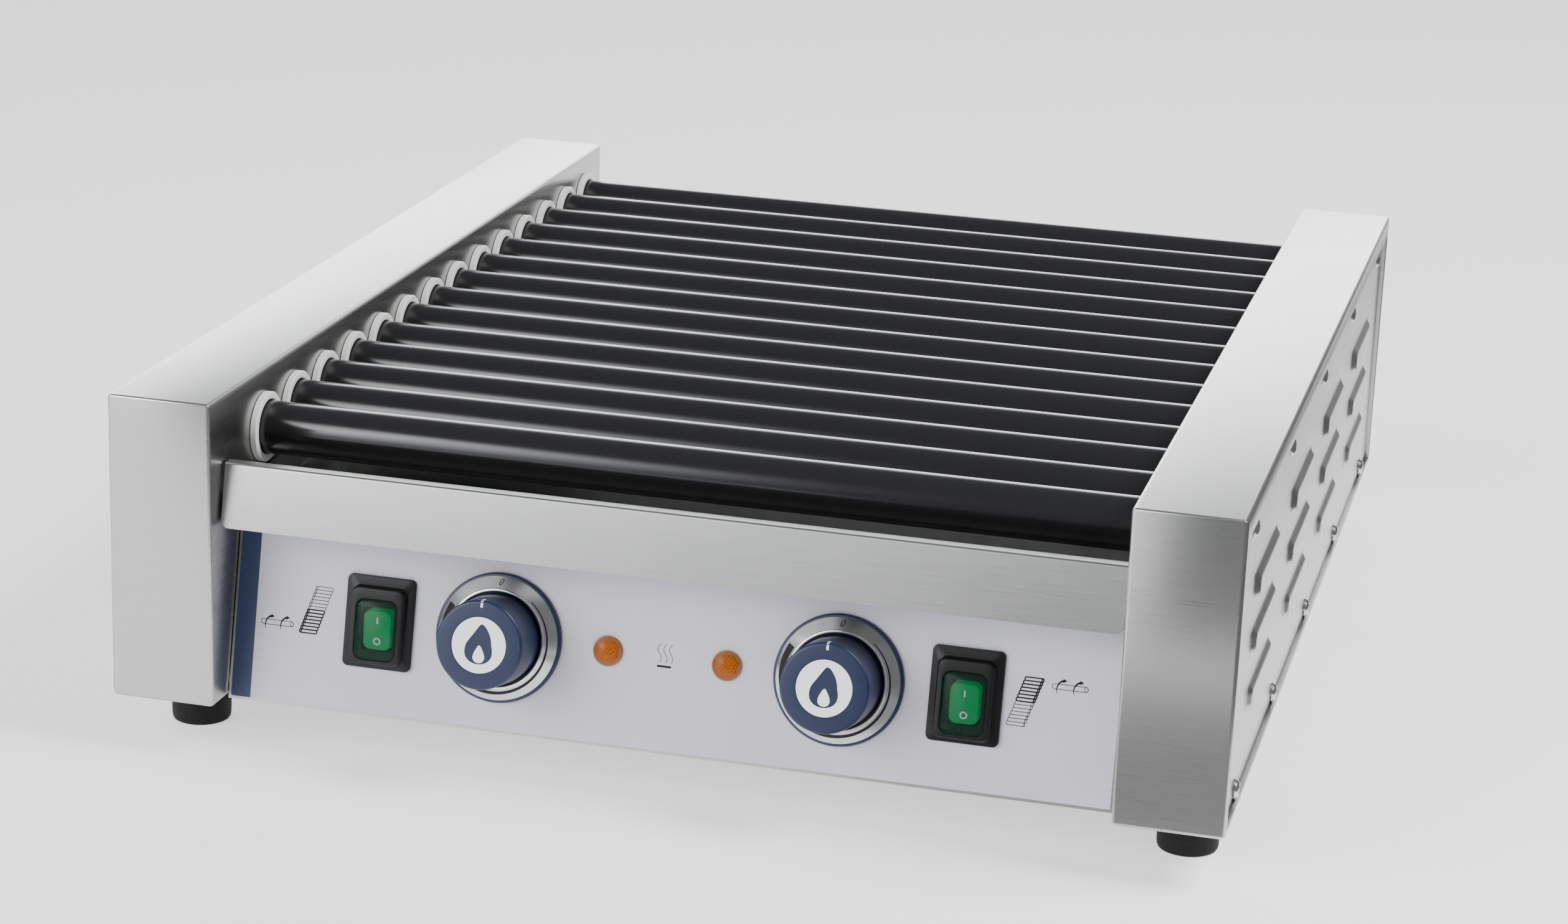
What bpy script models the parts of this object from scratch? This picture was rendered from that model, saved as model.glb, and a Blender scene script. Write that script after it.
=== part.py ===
"""A countertop hot dog roller grill: two sheet-metal side housings carry fourteen heated rollers
over a pull-out drip tray, with the controls on a sloping front panel. Metres, +Z up, the front
faces -Y, and the origin lies under the middle of the footprint at the height of the table."""

import math

import bmesh
import bpy
from mathutils import Matrix

# Overall sizes of the two side housings as they stand on their feet
WIDTH = 0.520
DEPTH = 0.590
HEIGHT = 0.172
FOOT_HEIGHT = 0.026

# General fits and sheet
SHEET = 0.001
GAP = 0.0003  # between pieces that touch
SIDE_FIT = 0.0004  # centre pieces to the housings' inner walls
FACETS = 16

# Side housings and their covers
HOUSING_WIDTH = 0.050
RETURN_TOP = 0.011
RETURN_BOTTOM = 0.0035
RETURN_END = 0.005
LEDGE = 0.012
COVER_RECESS = 0.0024
COVER_FIT = 0.0005

# Louvres pressed in the covers
LOUVRE_COLUMNS = 4
LOUVRE_ROWS = 3
LOUVRE_END = 0.095  # from each end of the cover to the middle of the nearest column
LOUVRE_ROW_PITCH = 0.027
LOUVRE_LENGTH = 0.076
LOUVRE_HEIGHT = 0.013
LOUVRE_PROUD = 0.0022
LOUVRE_SKIN = 0.0007

# Rollers, their bushings and the heating rods in them
ROLLERS = 14
ZONE = 7
ROLLER_RADIUS = 0.0125
ROLLER_WALL = 0.0015
ROLLER_DROP = 0.0274  # axis below the top of the housings
FIRST_SETBACK = 0.063
LAST_SETBACK = 0.033
BORE_FIT = 0.0003
SLEEVE_WALL = 0.0017
FLANGE_LIP = 0.002
FLANGE_THICK = 0.003
SLEEVE_INSIDE = 0.008  # how far bushings and bearing rail reach into a housing
ROLLER_LEFT_END = 0.014
ROLLER_RIGHT_END = 0.028
RAIL_EDGE = 0.001
HEATER_RADIUS = 0.004
HEATER_RIGHT_END = 0.010
BUS_BAR_IN = 0.030  # from the inner wall to the bus bar
BUS_BAR_THICK = 0.006
BUS_BAR_HALF = 0.0065

# Chain drive in the right housing
SPROCKET_RADIUS = 0.014
SPROCKET_THICK = 0.003
SPROCKET_IN = 0.017
CHAIN_GAP = 0.0004
CHAIN_THICK = 0.003
CHAIN_WIDTH = 0.004
MOTOR_RADIUS = 0.029
MOTOR_CAN_RADIUS = 0.025
GEARBOX_LENGTH = 0.020
MOTOR_LENGTH = 0.060
SHAFT_RADIUS = 0.005
SHAFT_IN_MOTOR = 0.013
SHAFT_HOLE = 0.008

# Drip tray
TRAY_SHEET = 0.001
TRAY_SIDE_FIT = 0.0013
TRAY_WALL = 0.014
TRAY_UNDER_FLANGE = 0.0026
TRAY_ON_DECK = 0.0004
FASCIA_FORWARD = 0.0084  # bottom of the fascia behind the housings' front
FASCIA_TALL = 0.030
FASCIA_HEM = 0.006
TRAY_REAR = 0.023

# Control panel and deck, one folded sheet, and the base pan
SLOPE = math.radians(12)
PANEL_SETBACK = 0.0176
PANEL_DROP = 0.001  # its bottom edge below the housings
PANEL_LIP = 0.015
DECK_REAR = 0.017
DECK_LIP = 0.012
PAN_FRONT = 0.033
PAN_LIFT = 0.001
PAN_UPSTAND = 0.013
PAN_REAR = 0.012
PAN_TOP_LIP = 0.008
REAR_WALL_DROP = 0.048  # top of the rear wall below the top of the housings

# Controls, placed from the middle of the panel and up its slope
CONTROL_UP = 0.044
KNOB_X = 0.080
SWITCH_X = 0.138
LAMP_X = 0.028
KNOB_RADIUS = 0.0208
KNOB_TOP = 0.030  # above the panel
KNOB_LIFT = 0.0035
KNOB_EDGE = 0.0015
SPINDLE_RADIUS = 0.003
SPINDLE_LENGTH = 0.022
DIAL_RADIUS = 0.030
DIAL_EDGE = 0.0022
DIAL_LIP = 0.0072
DIAL_LIP_WIDTH = 0.0014
DIAL_BOTTOM = 0.002
KNOB_CLEAR = 0.001  # between the knob and the dial's lip
SWITCH_WIDTH = 0.033
SWITCH_HEIGHT = 0.043
SWITCH_PROUD = 0.0045
SWITCH_BODY_DEPTH = 0.022
SWITCH_RIM = 0.0035  # frame beyond the panel's cut-out
ROCKER_WIDTH = 0.0134
ROCKER_HEIGHT = 0.0186
ROCKER_THICK = 0.007
ROCKER_FIT = 0.0009
ROCKER_DROP = 0.003  # below the frame's middle
ROCKER_THROW = math.radians(14)
LAMP_RADIUS = 0.0073
LAMP_BODY_RADIUS = 0.0054
LAMP_PROUD = 0.006
LAMP_DEPTH = 0.024
THERMOSTAT_HALF = 0.018
THERMOSTAT_DEPTH = 0.028

# Feet and cable gland
FOOT_IN = 0.0224
FOOT_BACK = 0.0512
FOOT_RADIUS = 0.0148
FOOT_TIP_RADIUS = 0.0138
GLAND_X = 0.150
GLAND_UP = 0.034
GLAND_RADIUS = 0.010
GLAND_SHANK = 0.0066
GLAND_BORE = 0.0035
GLAND_PROUD = 0.011

# Worked out from the sizes above
INNER = WIDTH / 2 - HOUSING_WIDTH
BACK = DEPTH / 2
ROLLER_PITCH = (DEPTH - FIRST_SETBACK - LAST_SETBACK) / (ROLLERS - 1)
ROLLER_Y = [FIRST_SETBACK - BACK + i * ROLLER_PITCH for i in range(ROLLERS)]
ROLLER_Z = HEIGHT - ROLLER_DROP
BORE = ROLLER_RADIUS + BORE_FIT
SLEEVE = BORE + SLEEVE_WALL
FLANGE = SLEEVE + FLANGE_LIP
TRAY_Z = ROLLER_Z - FLANGE - TRAY_UNDER_FLANGE - TRAY_WALL
DECK_Z = TRAY_Z - TRAY_ON_DECK
PANEL_Z = FOOT_HEIGHT - PANEL_DROP
PANEL_Y = PANEL_SETBACK - BACK
PAN_Z = FOOT_HEIGHT + PAN_LIFT
MOTOR_Z = (PAN_Z + DECK_Z) / 2
SPROCKET_X = INNER + SPROCKET_IN
CENTRE_HALF = INNER - SIDE_FIT
KNOB_REACH = (KNOB_TOP * math.cos(SLOPE) - PANEL_SETBACK
              - (CONTROL_UP - KNOB_RADIUS + KNOB_EDGE) * math.sin(SLOPE))  # past the housings
FRONT_SHIFT = max(KNOB_REACH, 0) / 2  # keeps the origin under the middle of the whole object


def collection(name):
    made = bpy.data.collections.new(name)
    bpy.context.scene.collection.children.link(made)
    return made


def material(name, colour, roughness, metallic=0.0):
    made = bpy.data.materials.new(name)
    made.use_nodes = True
    shader = made.node_tree.nodes["Principled BSDF"]
    shader.inputs["Base Color"].default_value = (*colour, 1.0)
    shader.inputs["Roughness"].default_value = roughness
    shader.inputs["Metallic"].default_value = metallic
    made.diffuse_color = (*colour, 1.0)
    return made


def place(mesh, name, finish=None, parent=None):
    """An object of this mesh among the parts, or among the cutters when it has no finish."""
    obj = bpy.data.objects.new(name, mesh)
    (PARTS if finish else CUTTERS).objects.link(obj)
    if finish:
        mesh.materials.append(finish)
    else:
        obj.hide_render = True
        obj.display_type = "WIRE"
    obj.parent = parent or ASSEMBLY
    return obj


def finished(shape, name):
    mesh = bpy.data.meshes.new(name)
    shape.to_mesh(mesh)
    shape.free()
    return mesh


def add_box(shape, low, high):
    size = [h - l for l, h in zip(low, high)]
    middle = [(h + l) / 2 for l, h in zip(low, high)]
    matrix = Matrix.Translation(middle) @ Matrix.Diagonal((*size, 1))
    return bmesh.ops.create_cube(shape, size=1, matrix=matrix)["verts"]


def box(name, low, high, finish=None, parent=None):
    shape = bmesh.new()
    add_box(shape, low, high)
    return place(finished(shape, name), name, finish, parent)


def add_rod(shape, start, length, radius, facets=FACETS):
    """A cylinder along +X from a point."""
    turn = Matrix.Rotation(math.pi / 2, 4, "Y")
    middle = Matrix.Translation((start[0] + length / 2, start[1], start[2]))
    bmesh.ops.create_cone(shape, cap_ends=True, segments=facets, radius1=radius,
                          radius2=radius, depth=length, matrix=middle @ turn)


def roller_rods(name, start_x, length, radius, facets=FACETS, finish=None):
    """One cylinder on each roller's axis, as one object."""
    shape = bmesh.new()
    for y in ROLLER_Y:
        add_rod(shape, (start_x, y, ROLLER_Z), length, radius, facets)
    return place(finished(shape, name), name, finish)


def turned(name, outline, finish=None, parent=None, closed=False, facets=FACETS):
    """A turned shape about Z. The outline's (radius, height) points run down its outer side."""
    shape = bmesh.new()
    points = [shape.verts.new((radius, 0, height)) for radius, height in outline]
    ends = points[1:] + points[:1] if closed else points[1:]
    for start, end in zip(points, ends):
        shape.edges.new((start, end))
    obj = place(finished(shape, name), name, finish, parent)
    screw = obj.modifiers.new("turn", "SCREW")
    screw.steps = screw.render_steps = facets
    screw.use_merge_vertices = True
    screw.merge_threshold = 0.00001
    return obj


def folded(name, outline, half, finish, closed=False, thickness=SHEET):
    """Sheet folded along an outline of (y, z) points, seen from its outer side, as wide as 2 half."""
    shape = bmesh.new()
    left = [shape.verts.new((-half, y, z)) for y, z in outline]
    right = [shape.verts.new((half, y, z)) for y, z in outline]
    last = len(outline) if closed else len(outline) - 1
    for i in range(last):
        j = (i + 1) % len(outline)
        shape.faces.new((left[i], left[j], right[j], right[i]))
    obj = place(finished(shape, name), name, finish)
    solid = obj.modifiers.new("sheet", "SOLIDIFY")
    solid.thickness = thickness
    solid.offset = -1
    solid.use_even_offset = True
    return obj


def boolean(target, other, operation):
    modifier = target.modifiers.new(operation.lower(), "BOOLEAN")
    modifier.operation = operation
    modifier.object = other


def cut(target, *cutters):
    for cutter in cutters:
        boolean(target, cutter, "DIFFERENCE")


def join(target, *others):
    for other in others:
        boolean(target, other, "UNION")


def smooth(obj):
    obj.data.shade_smooth()
    obj.data.set_sharp_from_angle(angle=math.radians(35))


def sided(side, low, high):
    """A box's corners given for the right side, for the side asked for."""
    if side > 0:
        return low, high
    return (-high[0], low[1], low[2]), (-low[0], high[1], high[2])


def cover_window():
    """Low and high (y, z) of the pocket that a cover drops into."""
    low = (RETURN_END - BACK, FOOT_HEIGHT + RETURN_BOTTOM)
    return low, (BACK - RETURN_END, HEIGHT - RETURN_TOP)


def side_box(name, side, near, far, low, high):
    """A cutter or joiner between two distances from the middle plane, on one side."""
    return box(name, *sided(side, (near, *low), (far, *high)))


def make_housing(name, side):
    """Sheet shell: plain inner wall, and a joggled window for the cover on the outer side."""
    outer = WIDTH / 2
    shell = box(name, *sided(side, (INNER, -BACK, FOOT_HEIGHT), (outer, BACK, HEIGHT)), STEEL)
    shell_low = (SHEET - BACK, FOOT_HEIGHT + SHEET)
    shell_high = (BACK - SHEET, HEIGHT - SHEET)
    hollow = side_box(name + "_hollow", side, INNER + SHEET, outer - SHEET, shell_low, shell_high)
    low, high = cover_window()
    ledge_face = outer - COVER_RECESS - SHEET - GAP
    pan_low = [v - SHEET for v in low]
    pan_high = [v + SHEET for v in high]
    pan = side_box(name + "_joggle", side, ledge_face - SHEET, outer - SHEET / 2, pan_low, pan_high)
    pocket = side_box(name + "_pocket", side, ledge_face, outer + SHEET, low, high)
    way_low = [v + LEDGE for v in low]
    way_high = [v - LEDGE for v in high]
    way = side_box(name + "_way", side, ledge_face - 2 * SHEET, outer, way_low, way_high)
    cut(shell, hollow)
    join(shell, pan)
    cut(shell, pocket, way)
    reach = 3 * SHEET
    start = side * (INNER + SHEET / 2) - reach / 2
    radius = FLANGE + GAP if side > 0 else SLEEVE + GAP
    cut(shell, roller_rods(name + "_bores", start, reach, radius))
    if side > 0:
        shafts = bmesh.new()
        for y in zone_middles():
            add_rod(shafts, (start, y, MOTOR_Z), reach, SHAFT_HOLE)
        cut(shell, place(finished(shafts, name + "_shafts"), name + "_shafts"))
    return shell


def louvre_places():
    first = LOUVRE_END + RETURN_END - BACK
    pitch = -2 * first / (LOUVRE_COLUMNS - 1)
    low, high = cover_window()
    middle = (low[1] + high[1]) / 2
    for column in range(LOUVRE_COLUMNS):
        for row in range(LOUVRE_ROWS):
            yield first + column * pitch, middle + (row - (LOUVRE_ROWS - 1) / 2) * LOUVRE_ROW_PITCH


def add_hood(shape, side, face, y, z):
    """A pressed hood with sloping ends and top, wider where it meets the cover."""
    half_long, half_tall = LOUVRE_LENGTH / 2, LOUVRE_HEIGHT / 2
    low, high = sided(side, (face - SHEET / 2, y - half_long, z - half_tall),
                      (face + LOUVRE_PROUD, y + half_long, z + half_tall))
    for vert in add_box(shape, low, high):
        if abs(vert.co.x) > face:
            vert.co.y -= math.copysign(2 * LOUVRE_PROUD, vert.co.y - y)
            vert.co.z -= LOUVRE_PROUD if vert.co.z > z else 0


def make_cover(name, side):
    """Flat cover in the housing's window, with louvres whose mouths open downwards."""
    low, high = cover_window()
    face = WIDTH / 2 - COVER_RECESS
    low = [v + COVER_FIT for v in low]
    high = [v - COVER_FIT for v in high]
    cover = box(name, *sided(side, (face - SHEET, *low), (face, *high)), STEEL)
    hoods, mouths = bmesh.new(), bmesh.new()
    half_long, half_tall = LOUVRE_LENGTH / 2 - 3 * LOUVRE_PROUD, LOUVRE_HEIGHT / 2
    for y, z in louvre_places():
        add_hood(hoods, side, face, y, z)
        inside = sided(side, (face - 2 * SHEET, y - half_long, z - half_tall - SHEET),
                       (face + LOUVRE_PROUD - LOUVRE_SKIN, y + half_long, z + half_tall - 2 * LOUVRE_PROUD))
        add_box(mouths, *inside)
    join(cover, place(finished(hoods, name + "_hoods"), name + "_hoods"))
    cut(cover, place(finished(mouths, name + "_mouths"), name + "_mouths"))
    return cover


def make_roller(index, y):
    """Hollow tube along X with its sprocket in the right housing."""
    left, right = -INNER - ROLLER_LEFT_END, INNER + ROLLER_RIGHT_END
    bore = ROLLER_RADIUS - ROLLER_WALL
    near, far = SPROCKET_X, SPROCKET_X + SPROCKET_THICK
    outline = [(ROLLER_RADIUS, right), (ROLLER_RADIUS, far), (SPROCKET_RADIUS, far),
               (SPROCKET_RADIUS, near), (ROLLER_RADIUS, near), (ROLLER_RADIUS, left),
               (bore, left), (bore, right)]
    roller = turned(f"roller_{index + 1:02d}", outline, ROLLER_BLACK, closed=True)
    along_x(roller, y, ROLLER_Z)


def along_x(obj, y, z):
    """Lays a shape turned about Z along X, on an axis through (y, z)."""
    obj.location = (0, y, z)
    obj.rotation_euler = (0, math.pi / 2, 0)
    smooth(obj)


def make_bushing(index, y):
    """Flanged plain bearing pressed in the left inner wall."""
    seat = -INNER + GAP
    outline = [(FLANGE, seat + FLANGE_THICK), (FLANGE, seat), (SLEEVE, seat),
               (SLEEVE, -INNER - SLEEVE_INSIDE), (BORE, -INNER - SLEEVE_INSIDE),
               (BORE, seat + FLANGE_THICK)]
    along_x(turned(f"bushing_left_{index + 1:02d}", outline, PTFE, closed=True), y, ROLLER_Z)


def make_bearing_rail():
    """One bar of plain bearings behind the right inner wall, its collars standing through it."""
    near = INNER + SHEET + GAP
    edge = FLANGE + RAIL_EDGE
    rail = box("bearing_rail_right", (near, ROLLER_Y[0] - edge, ROLLER_Z - edge),
               (INNER + SLEEVE_INSIDE, ROLLER_Y[-1] + edge, ROLLER_Z + edge), PTFE)
    collar_x = INNER - FLANGE_THICK
    collars = roller_rods("rail_collars", collar_x, near - collar_x + SHEET, FLANGE)
    bores = roller_rods("rail_bores", collar_x - SHEET, SLEEVE_INSIDE + FLANGE_THICK + 2 * SHEET, BORE)
    join(rail, collars)
    cut(rail, bores)


def make_heater_bank():
    """Heating rods inside the rollers, held by a bus bar in the left housing."""
    bar_x = -INNER - BUS_BAR_IN
    bar = box("heater_bank", (bar_x - BUS_BAR_THICK, ROLLER_Y[0] - BUS_BAR_HALF, ROLLER_Z - BUS_BAR_HALF),
              (bar_x, ROLLER_Y[-1] + BUS_BAR_HALF, ROLLER_Z + BUS_BAR_HALF), HEATER)
    start = bar_x - BUS_BAR_THICK / 2
    join(bar, roller_rods("heater_rods", start, INNER + HEATER_RIGHT_END - start, HEATER_RADIUS, 8))


def zone_rollers(zone):
    return ROLLER_Y[zone * ZONE:(zone + 1) * ZONE]


def zone_middles():
    return [(zone_rollers(zone)[0] + zone_rollers(zone)[-1]) / 2 for zone in (0, 1)]


def belt_outline(centres, radius, steps=9):
    """A closed line at one radius around pulleys that are listed anticlockwise as seen from -X."""
    points = []
    for i, centre in enumerate(centres):
        angles = []
        for start, end in ((centres[i - 1], centre), (centre, centres[(i + 1) % len(centres)])):
            angles.append(math.atan2(start[0] - end[0], end[1] - start[1]))
        sweep = (angles[1] - angles[0]) % (2 * math.pi)
        for step in range(steps + 1):
            angle = angles[0] + sweep * step / steps
            points.append((centre[0] + radius * math.cos(angle), centre[1] + radius * math.sin(angle)))
    return points


def make_drive(zone):
    """Gear motor, its sprocket and the chain loop of one heating zone."""
    label = ("front", "rear")[zone]
    y = zone_middles()[zone]
    face = INNER - SIDE_FIT
    back, step = face - MOTOR_LENGTH, face - GEARBOX_LENGTH
    hole, depth = SHAFT_RADIUS + BORE_FIT, face - SHAFT_IN_MOTOR - GAP
    motor = [(hole, face), (MOTOR_RADIUS, face), (MOTOR_RADIUS, step), (MOTOR_CAN_RADIUS, step),
             (MOTOR_CAN_RADIUS, back), (0, back)]
    motor = [(0, depth), (hole, depth)] + motor
    along_x(turned(f"gear_motor_{label}", motor, MOTOR_METAL), y, MOTOR_Z)
    near, far = SPROCKET_X, SPROCKET_X + SPROCKET_THICK
    sprocket = [(0, far), (SPROCKET_RADIUS, far), (SPROCKET_RADIUS, near), (SHAFT_RADIUS, near),
                (SHAFT_RADIUS, face - SHAFT_IN_MOTOR), (0, face - SHAFT_IN_MOTOR)]
    along_x(turned(f"motor_sprocket_{label}", sprocket, MOTOR_METAL), y, MOTOR_Z)
    rollers = zone_rollers(zone)
    pulleys = [(rollers[-1], ROLLER_Z), (rollers[0], ROLLER_Z), (y, MOTOR_Z)]
    radius = SPROCKET_RADIUS + CHAIN_GAP + CHAIN_THICK
    chain = folded(f"drive_chain_{label}", belt_outline(pulleys, radius), CHAIN_WIDTH / 2,
                   MOTOR_METAL, closed=True, thickness=CHAIN_THICK)
    chain.location.x = SPROCKET_X + SPROCKET_THICK / 2


def make_panel():
    """Front panel and deck, folded from one sheet: rear lip, deck, sloping face, bottom lip."""
    deck_y = BACK - DECK_REAR
    top_y = PANEL_Y + (DECK_Z - PANEL_Z) * math.tan(SLOPE)
    outline = [(deck_y, DECK_Z - DECK_LIP), (deck_y, DECK_Z), (top_y, DECK_Z), (PANEL_Y, PANEL_Z),
               (PANEL_Y + PANEL_LIP, PANEL_Z)]
    panel = folded("control_panel", outline, CENTRE_HALF, STEEL)
    reach = 3 * SHEET
    for x in (-KNOB_X, KNOB_X):
        hole(panel, x, SPINDLE_RADIUS + 4 * GAP, reach)
    for x in (-LAMP_X, LAMP_X):
        hole(panel, x, LAMP_BODY_RADIUS + GAP, reach)
    for x in (-SWITCH_X, SWITCH_X):
        half_x, half_y = SWITCH_WIDTH / 2 - SWITCH_RIM + GAP, SWITCH_HEIGHT / 2 - SWITCH_RIM + GAP
        cut(panel, box("switch_cutout", (x - half_x, CONTROL_UP - half_y, -reach),
                       (x + half_x, CONTROL_UP + half_y, reach), parent=SLOPING))


def hole(panel, x, radius, reach):
    cutter = turned("panel_hole", [(0, reach), (radius, reach), (radius, -reach), (0, -reach)],
                    parent=SLOPING)
    cutter.location = (x, CONTROL_UP, 0)
    cut(panel, cutter)


def make_base_pan():
    """Floor and rear wall of the centre body, one folded sheet open at the top."""
    front, rear, top = PAN_FRONT - BACK, BACK - PAN_REAR, HEIGHT - REAR_WALL_DROP
    outline = [(front, PAN_Z + PAN_UPSTAND), (front, PAN_Z), (rear, PAN_Z), (rear, top),
               (rear - PAN_TOP_LIP, top)]
    pan = folded("base_pan", outline, CENTRE_HALF, STEEL)
    cutter = turned("gland_hole", [(0, PAN_REAR), (GLAND_SHANK + GAP, PAN_REAR),
                                   (GLAND_SHANK + GAP, -PAN_REAR), (0, -PAN_REAR)])
    behind(cutter)
    cut(pan, cutter)


def behind(obj):
    """Puts a shape turned about Z on the rear wall, pointing backwards."""
    obj.location = (GLAND_X, BACK - PAN_REAR, PAN_Z + GLAND_UP)
    obj.rotation_euler = (-math.pi / 2, 0, 0)
    smooth(obj)


def make_gland():
    inside = -SHEET - GAP
    nut, end = inside - 0.004, inside - 0.007
    tip = GLAND_RADIUS * 0.7
    outline = [(tip, GLAND_PROUD), (GLAND_RADIUS, GLAND_PROUD - 0.003), (GLAND_RADIUS, GAP),
               (GLAND_SHANK, GAP), (GLAND_SHANK, inside), (GLAND_RADIUS, inside),
               (GLAND_RADIUS, nut), (GLAND_SHANK, nut), (GLAND_SHANK, end),
               (GLAND_BORE, end), (GLAND_BORE, GLAND_PROUD)]
    behind(turned("cable_gland", outline, BLACK, closed=True))


def make_tray():
    """Pull-out tray: hemmed sloping fascia, floor and rear wall folded in one, with side walls."""
    front, rear = FASCIA_FORWARD - BACK, BACK - TRAY_REAR
    top_y, top_z = front + FASCIA_TALL * math.sin(SLOPE), TRAY_Z + FASCIA_TALL * math.cos(SLOPE)
    half = INNER - TRAY_SIDE_FIT
    wall_z = TRAY_Z + TRAY_WALL
    outline = [(top_y + FASCIA_HEM, top_z), (top_y, top_z), (front, TRAY_Z), (rear, TRAY_Z), (rear, wall_z)]
    tray = folded("drip_tray", outline, half, STEEL, thickness=TRAY_SHEET)
    wall_y = front + TRAY_WALL * math.tan(SLOPE) + TRAY_SHEET / 2
    for side in (-1, 1):
        low, high = sided(side, (half - TRAY_SHEET, wall_y, TRAY_Z + TRAY_SHEET / 2),
                          (half - TRAY_SHEET / 100, rear - TRAY_SHEET / 2, wall_z - TRAY_SHEET / 100))
        join(tray, box("tray_wall", low, high))


def make_knob(label, x):
    """Knob with its spindle, the dial under it and the thermostat behind the panel."""
    outline = [(0, KNOB_TOP), (KNOB_RADIUS - KNOB_EDGE, KNOB_TOP), (KNOB_RADIUS, KNOB_TOP - KNOB_EDGE),
               (KNOB_RADIUS, KNOB_LIFT), (SPINDLE_RADIUS, KNOB_LIFT),
               (SPINDLE_RADIUS, -SPINDLE_LENGTH), (0, -SPINDLE_LENGTH)]
    knob = turned(f"thermostat_knob_{label}", outline, NAVY, SLOPING)
    inner, recess = SPINDLE_RADIUS + 8 * GAP, KNOB_RADIUS + KNOB_CLEAR
    ring = [(recess + DIAL_LIP_WIDTH, DIAL_LIP), (DIAL_RADIUS - KNOB_CLEAR, DIAL_EDGE + KNOB_CLEAR),
            (DIAL_RADIUS, DIAL_EDGE), (DIAL_RADIUS, GAP), (inner, GAP), (inner, DIAL_BOTTOM),
            (recess, DIAL_BOTTOM), (recess, DIAL_LIP)]
    dial = turned(f"dial_ring_{label}", ring, CHROME, SLOPING, closed=True)
    for piece in (knob, dial):
        piece.location = (x, CONTROL_UP, 0)
        smooth(piece)
    near = -SHEET - GAP
    body = box(f"thermostat_{label}", (x - THERMOSTAT_HALF, CONTROL_UP - THERMOSTAT_HALF, near - THERMOSTAT_DEPTH),
               (x + THERMOSTAT_HALF, CONTROL_UP + THERMOSTAT_HALF, near), MOTOR_METAL, SLOPING)
    bore, deep = SPINDLE_RADIUS + BORE_FIT, SPINDLE_LENGTH + 2 * GAP
    socket = turned("spindle_socket", [(0, SHEET), (bore, SHEET), (bore, -deep), (0, -deep)], parent=SLOPING)
    socket.location = (x, CONTROL_UP, 0)
    cut(body, socket)


def make_switch(label, x):
    """Switch frame and body in the panel's cut-out, and the rocker on its pivot."""
    half_x, half_y = SWITCH_WIDTH / 2, SWITCH_HEIGHT / 2
    frame = box(f"switch_body_{label}", (x - half_x, CONTROL_UP - half_y, GAP),
                (x + half_x, CONTROL_UP + half_y, SWITCH_PROUD), BLACK, SLOPING)
    half_x, half_y = half_x - SWITCH_RIM, half_y - SWITCH_RIM
    join(frame, box("switch_insert", (x - half_x, CONTROL_UP - half_y, -SWITCH_BODY_DEPTH),
                    (x + half_x, CONTROL_UP + half_y, SWITCH_PROUD / 2), parent=SLOPING))
    half_x, half_y = ROCKER_WIDTH / 2 + ROCKER_FIT, ROCKER_HEIGHT / 2 + ROCKER_FIT
    rocker_up = CONTROL_UP - ROCKER_DROP
    cut(frame, box("rocker_pocket", (x - half_x, rocker_up - half_y, -ROCKER_THICK),
                   (x + half_x, rocker_up + half_y, 2 * SWITCH_PROUD), parent=SLOPING))
    half = (ROCKER_WIDTH / 2, ROCKER_HEIGHT / 2, ROCKER_THICK / 2)
    rocker = box(f"rocker_{label}", [-v for v in half], half, GREEN, SLOPING)
    rocker.location = (x, rocker_up, 0)
    rocker.rotation_euler = (ROCKER_THROW / 2, 0, 0)


def make_lamp(label, x):
    outline = [(0, LAMP_PROUD), (0.55 * LAMP_RADIUS, 0.9 * LAMP_PROUD), (0.88 * LAMP_RADIUS, 0.6 * LAMP_PROUD),
               (LAMP_RADIUS, 0.2 * LAMP_PROUD), (LAMP_RADIUS, GAP), (LAMP_BODY_RADIUS, GAP),
               (LAMP_BODY_RADIUS, -LAMP_DEPTH), (0, -LAMP_DEPTH)]
    lamp = turned(f"indicator_lamp_{label}", outline, AMBER, SLOPING)
    lamp.location = (x, CONTROL_UP, 0)
    smooth(lamp)


def make_feet():
    top = FOOT_HEIGHT - GAP
    outline = [(0, top), (FOOT_RADIUS, top), (FOOT_TIP_RADIUS, 0), (0, 0)]
    for end, y in (("front", FOOT_BACK - BACK), ("rear", BACK - FOOT_BACK)):
        for side, x in (("left", FOOT_IN - WIDTH / 2), ("right", WIDTH / 2 - FOOT_IN)):
            foot = turned(f"foot_{end}_{side}", outline, BLACK_RUBBER)
            foot.location = (x, y, 0)
            smooth(foot)


def make_grill():
    for label, side in (("left", -1), ("right", 1)):
        make_housing(f"housing_{label}", side)
        make_cover(f"cover_{label}", side)
        make_knob(label, side * KNOB_X)
        make_switch(label, side * SWITCH_X)
        make_lamp(label, side * LAMP_X)
    for index, y in enumerate(ROLLER_Y):
        make_roller(index, y)
        make_bushing(index, y)
    make_bearing_rail()
    make_heater_bank()
    for zone in (0, 1):
        make_drive(zone)
    make_panel()
    make_base_pan()
    make_gland()
    make_tray()
    make_feet()


for old in list(bpy.data.objects):
    bpy.data.objects.remove(old)
PARTS = collection("hot_dog_roller_grill")
CUTTERS = collection("cutters")
ASSEMBLY = bpy.data.objects.new("assembly", None)
PARTS.objects.link(ASSEMBLY)
ASSEMBLY.location.y = FRONT_SHIFT
SLOPING = bpy.data.objects.new("panel_frame", None)  # x across, y up the slope, z out of the panel
PARTS.objects.link(SLOPING)
SLOPING.parent = ASSEMBLY
SLOPING.location = (0, PANEL_Y, PANEL_Z)
SLOPING.rotation_euler = (math.pi / 2 - SLOPE, 0, 0)

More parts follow.
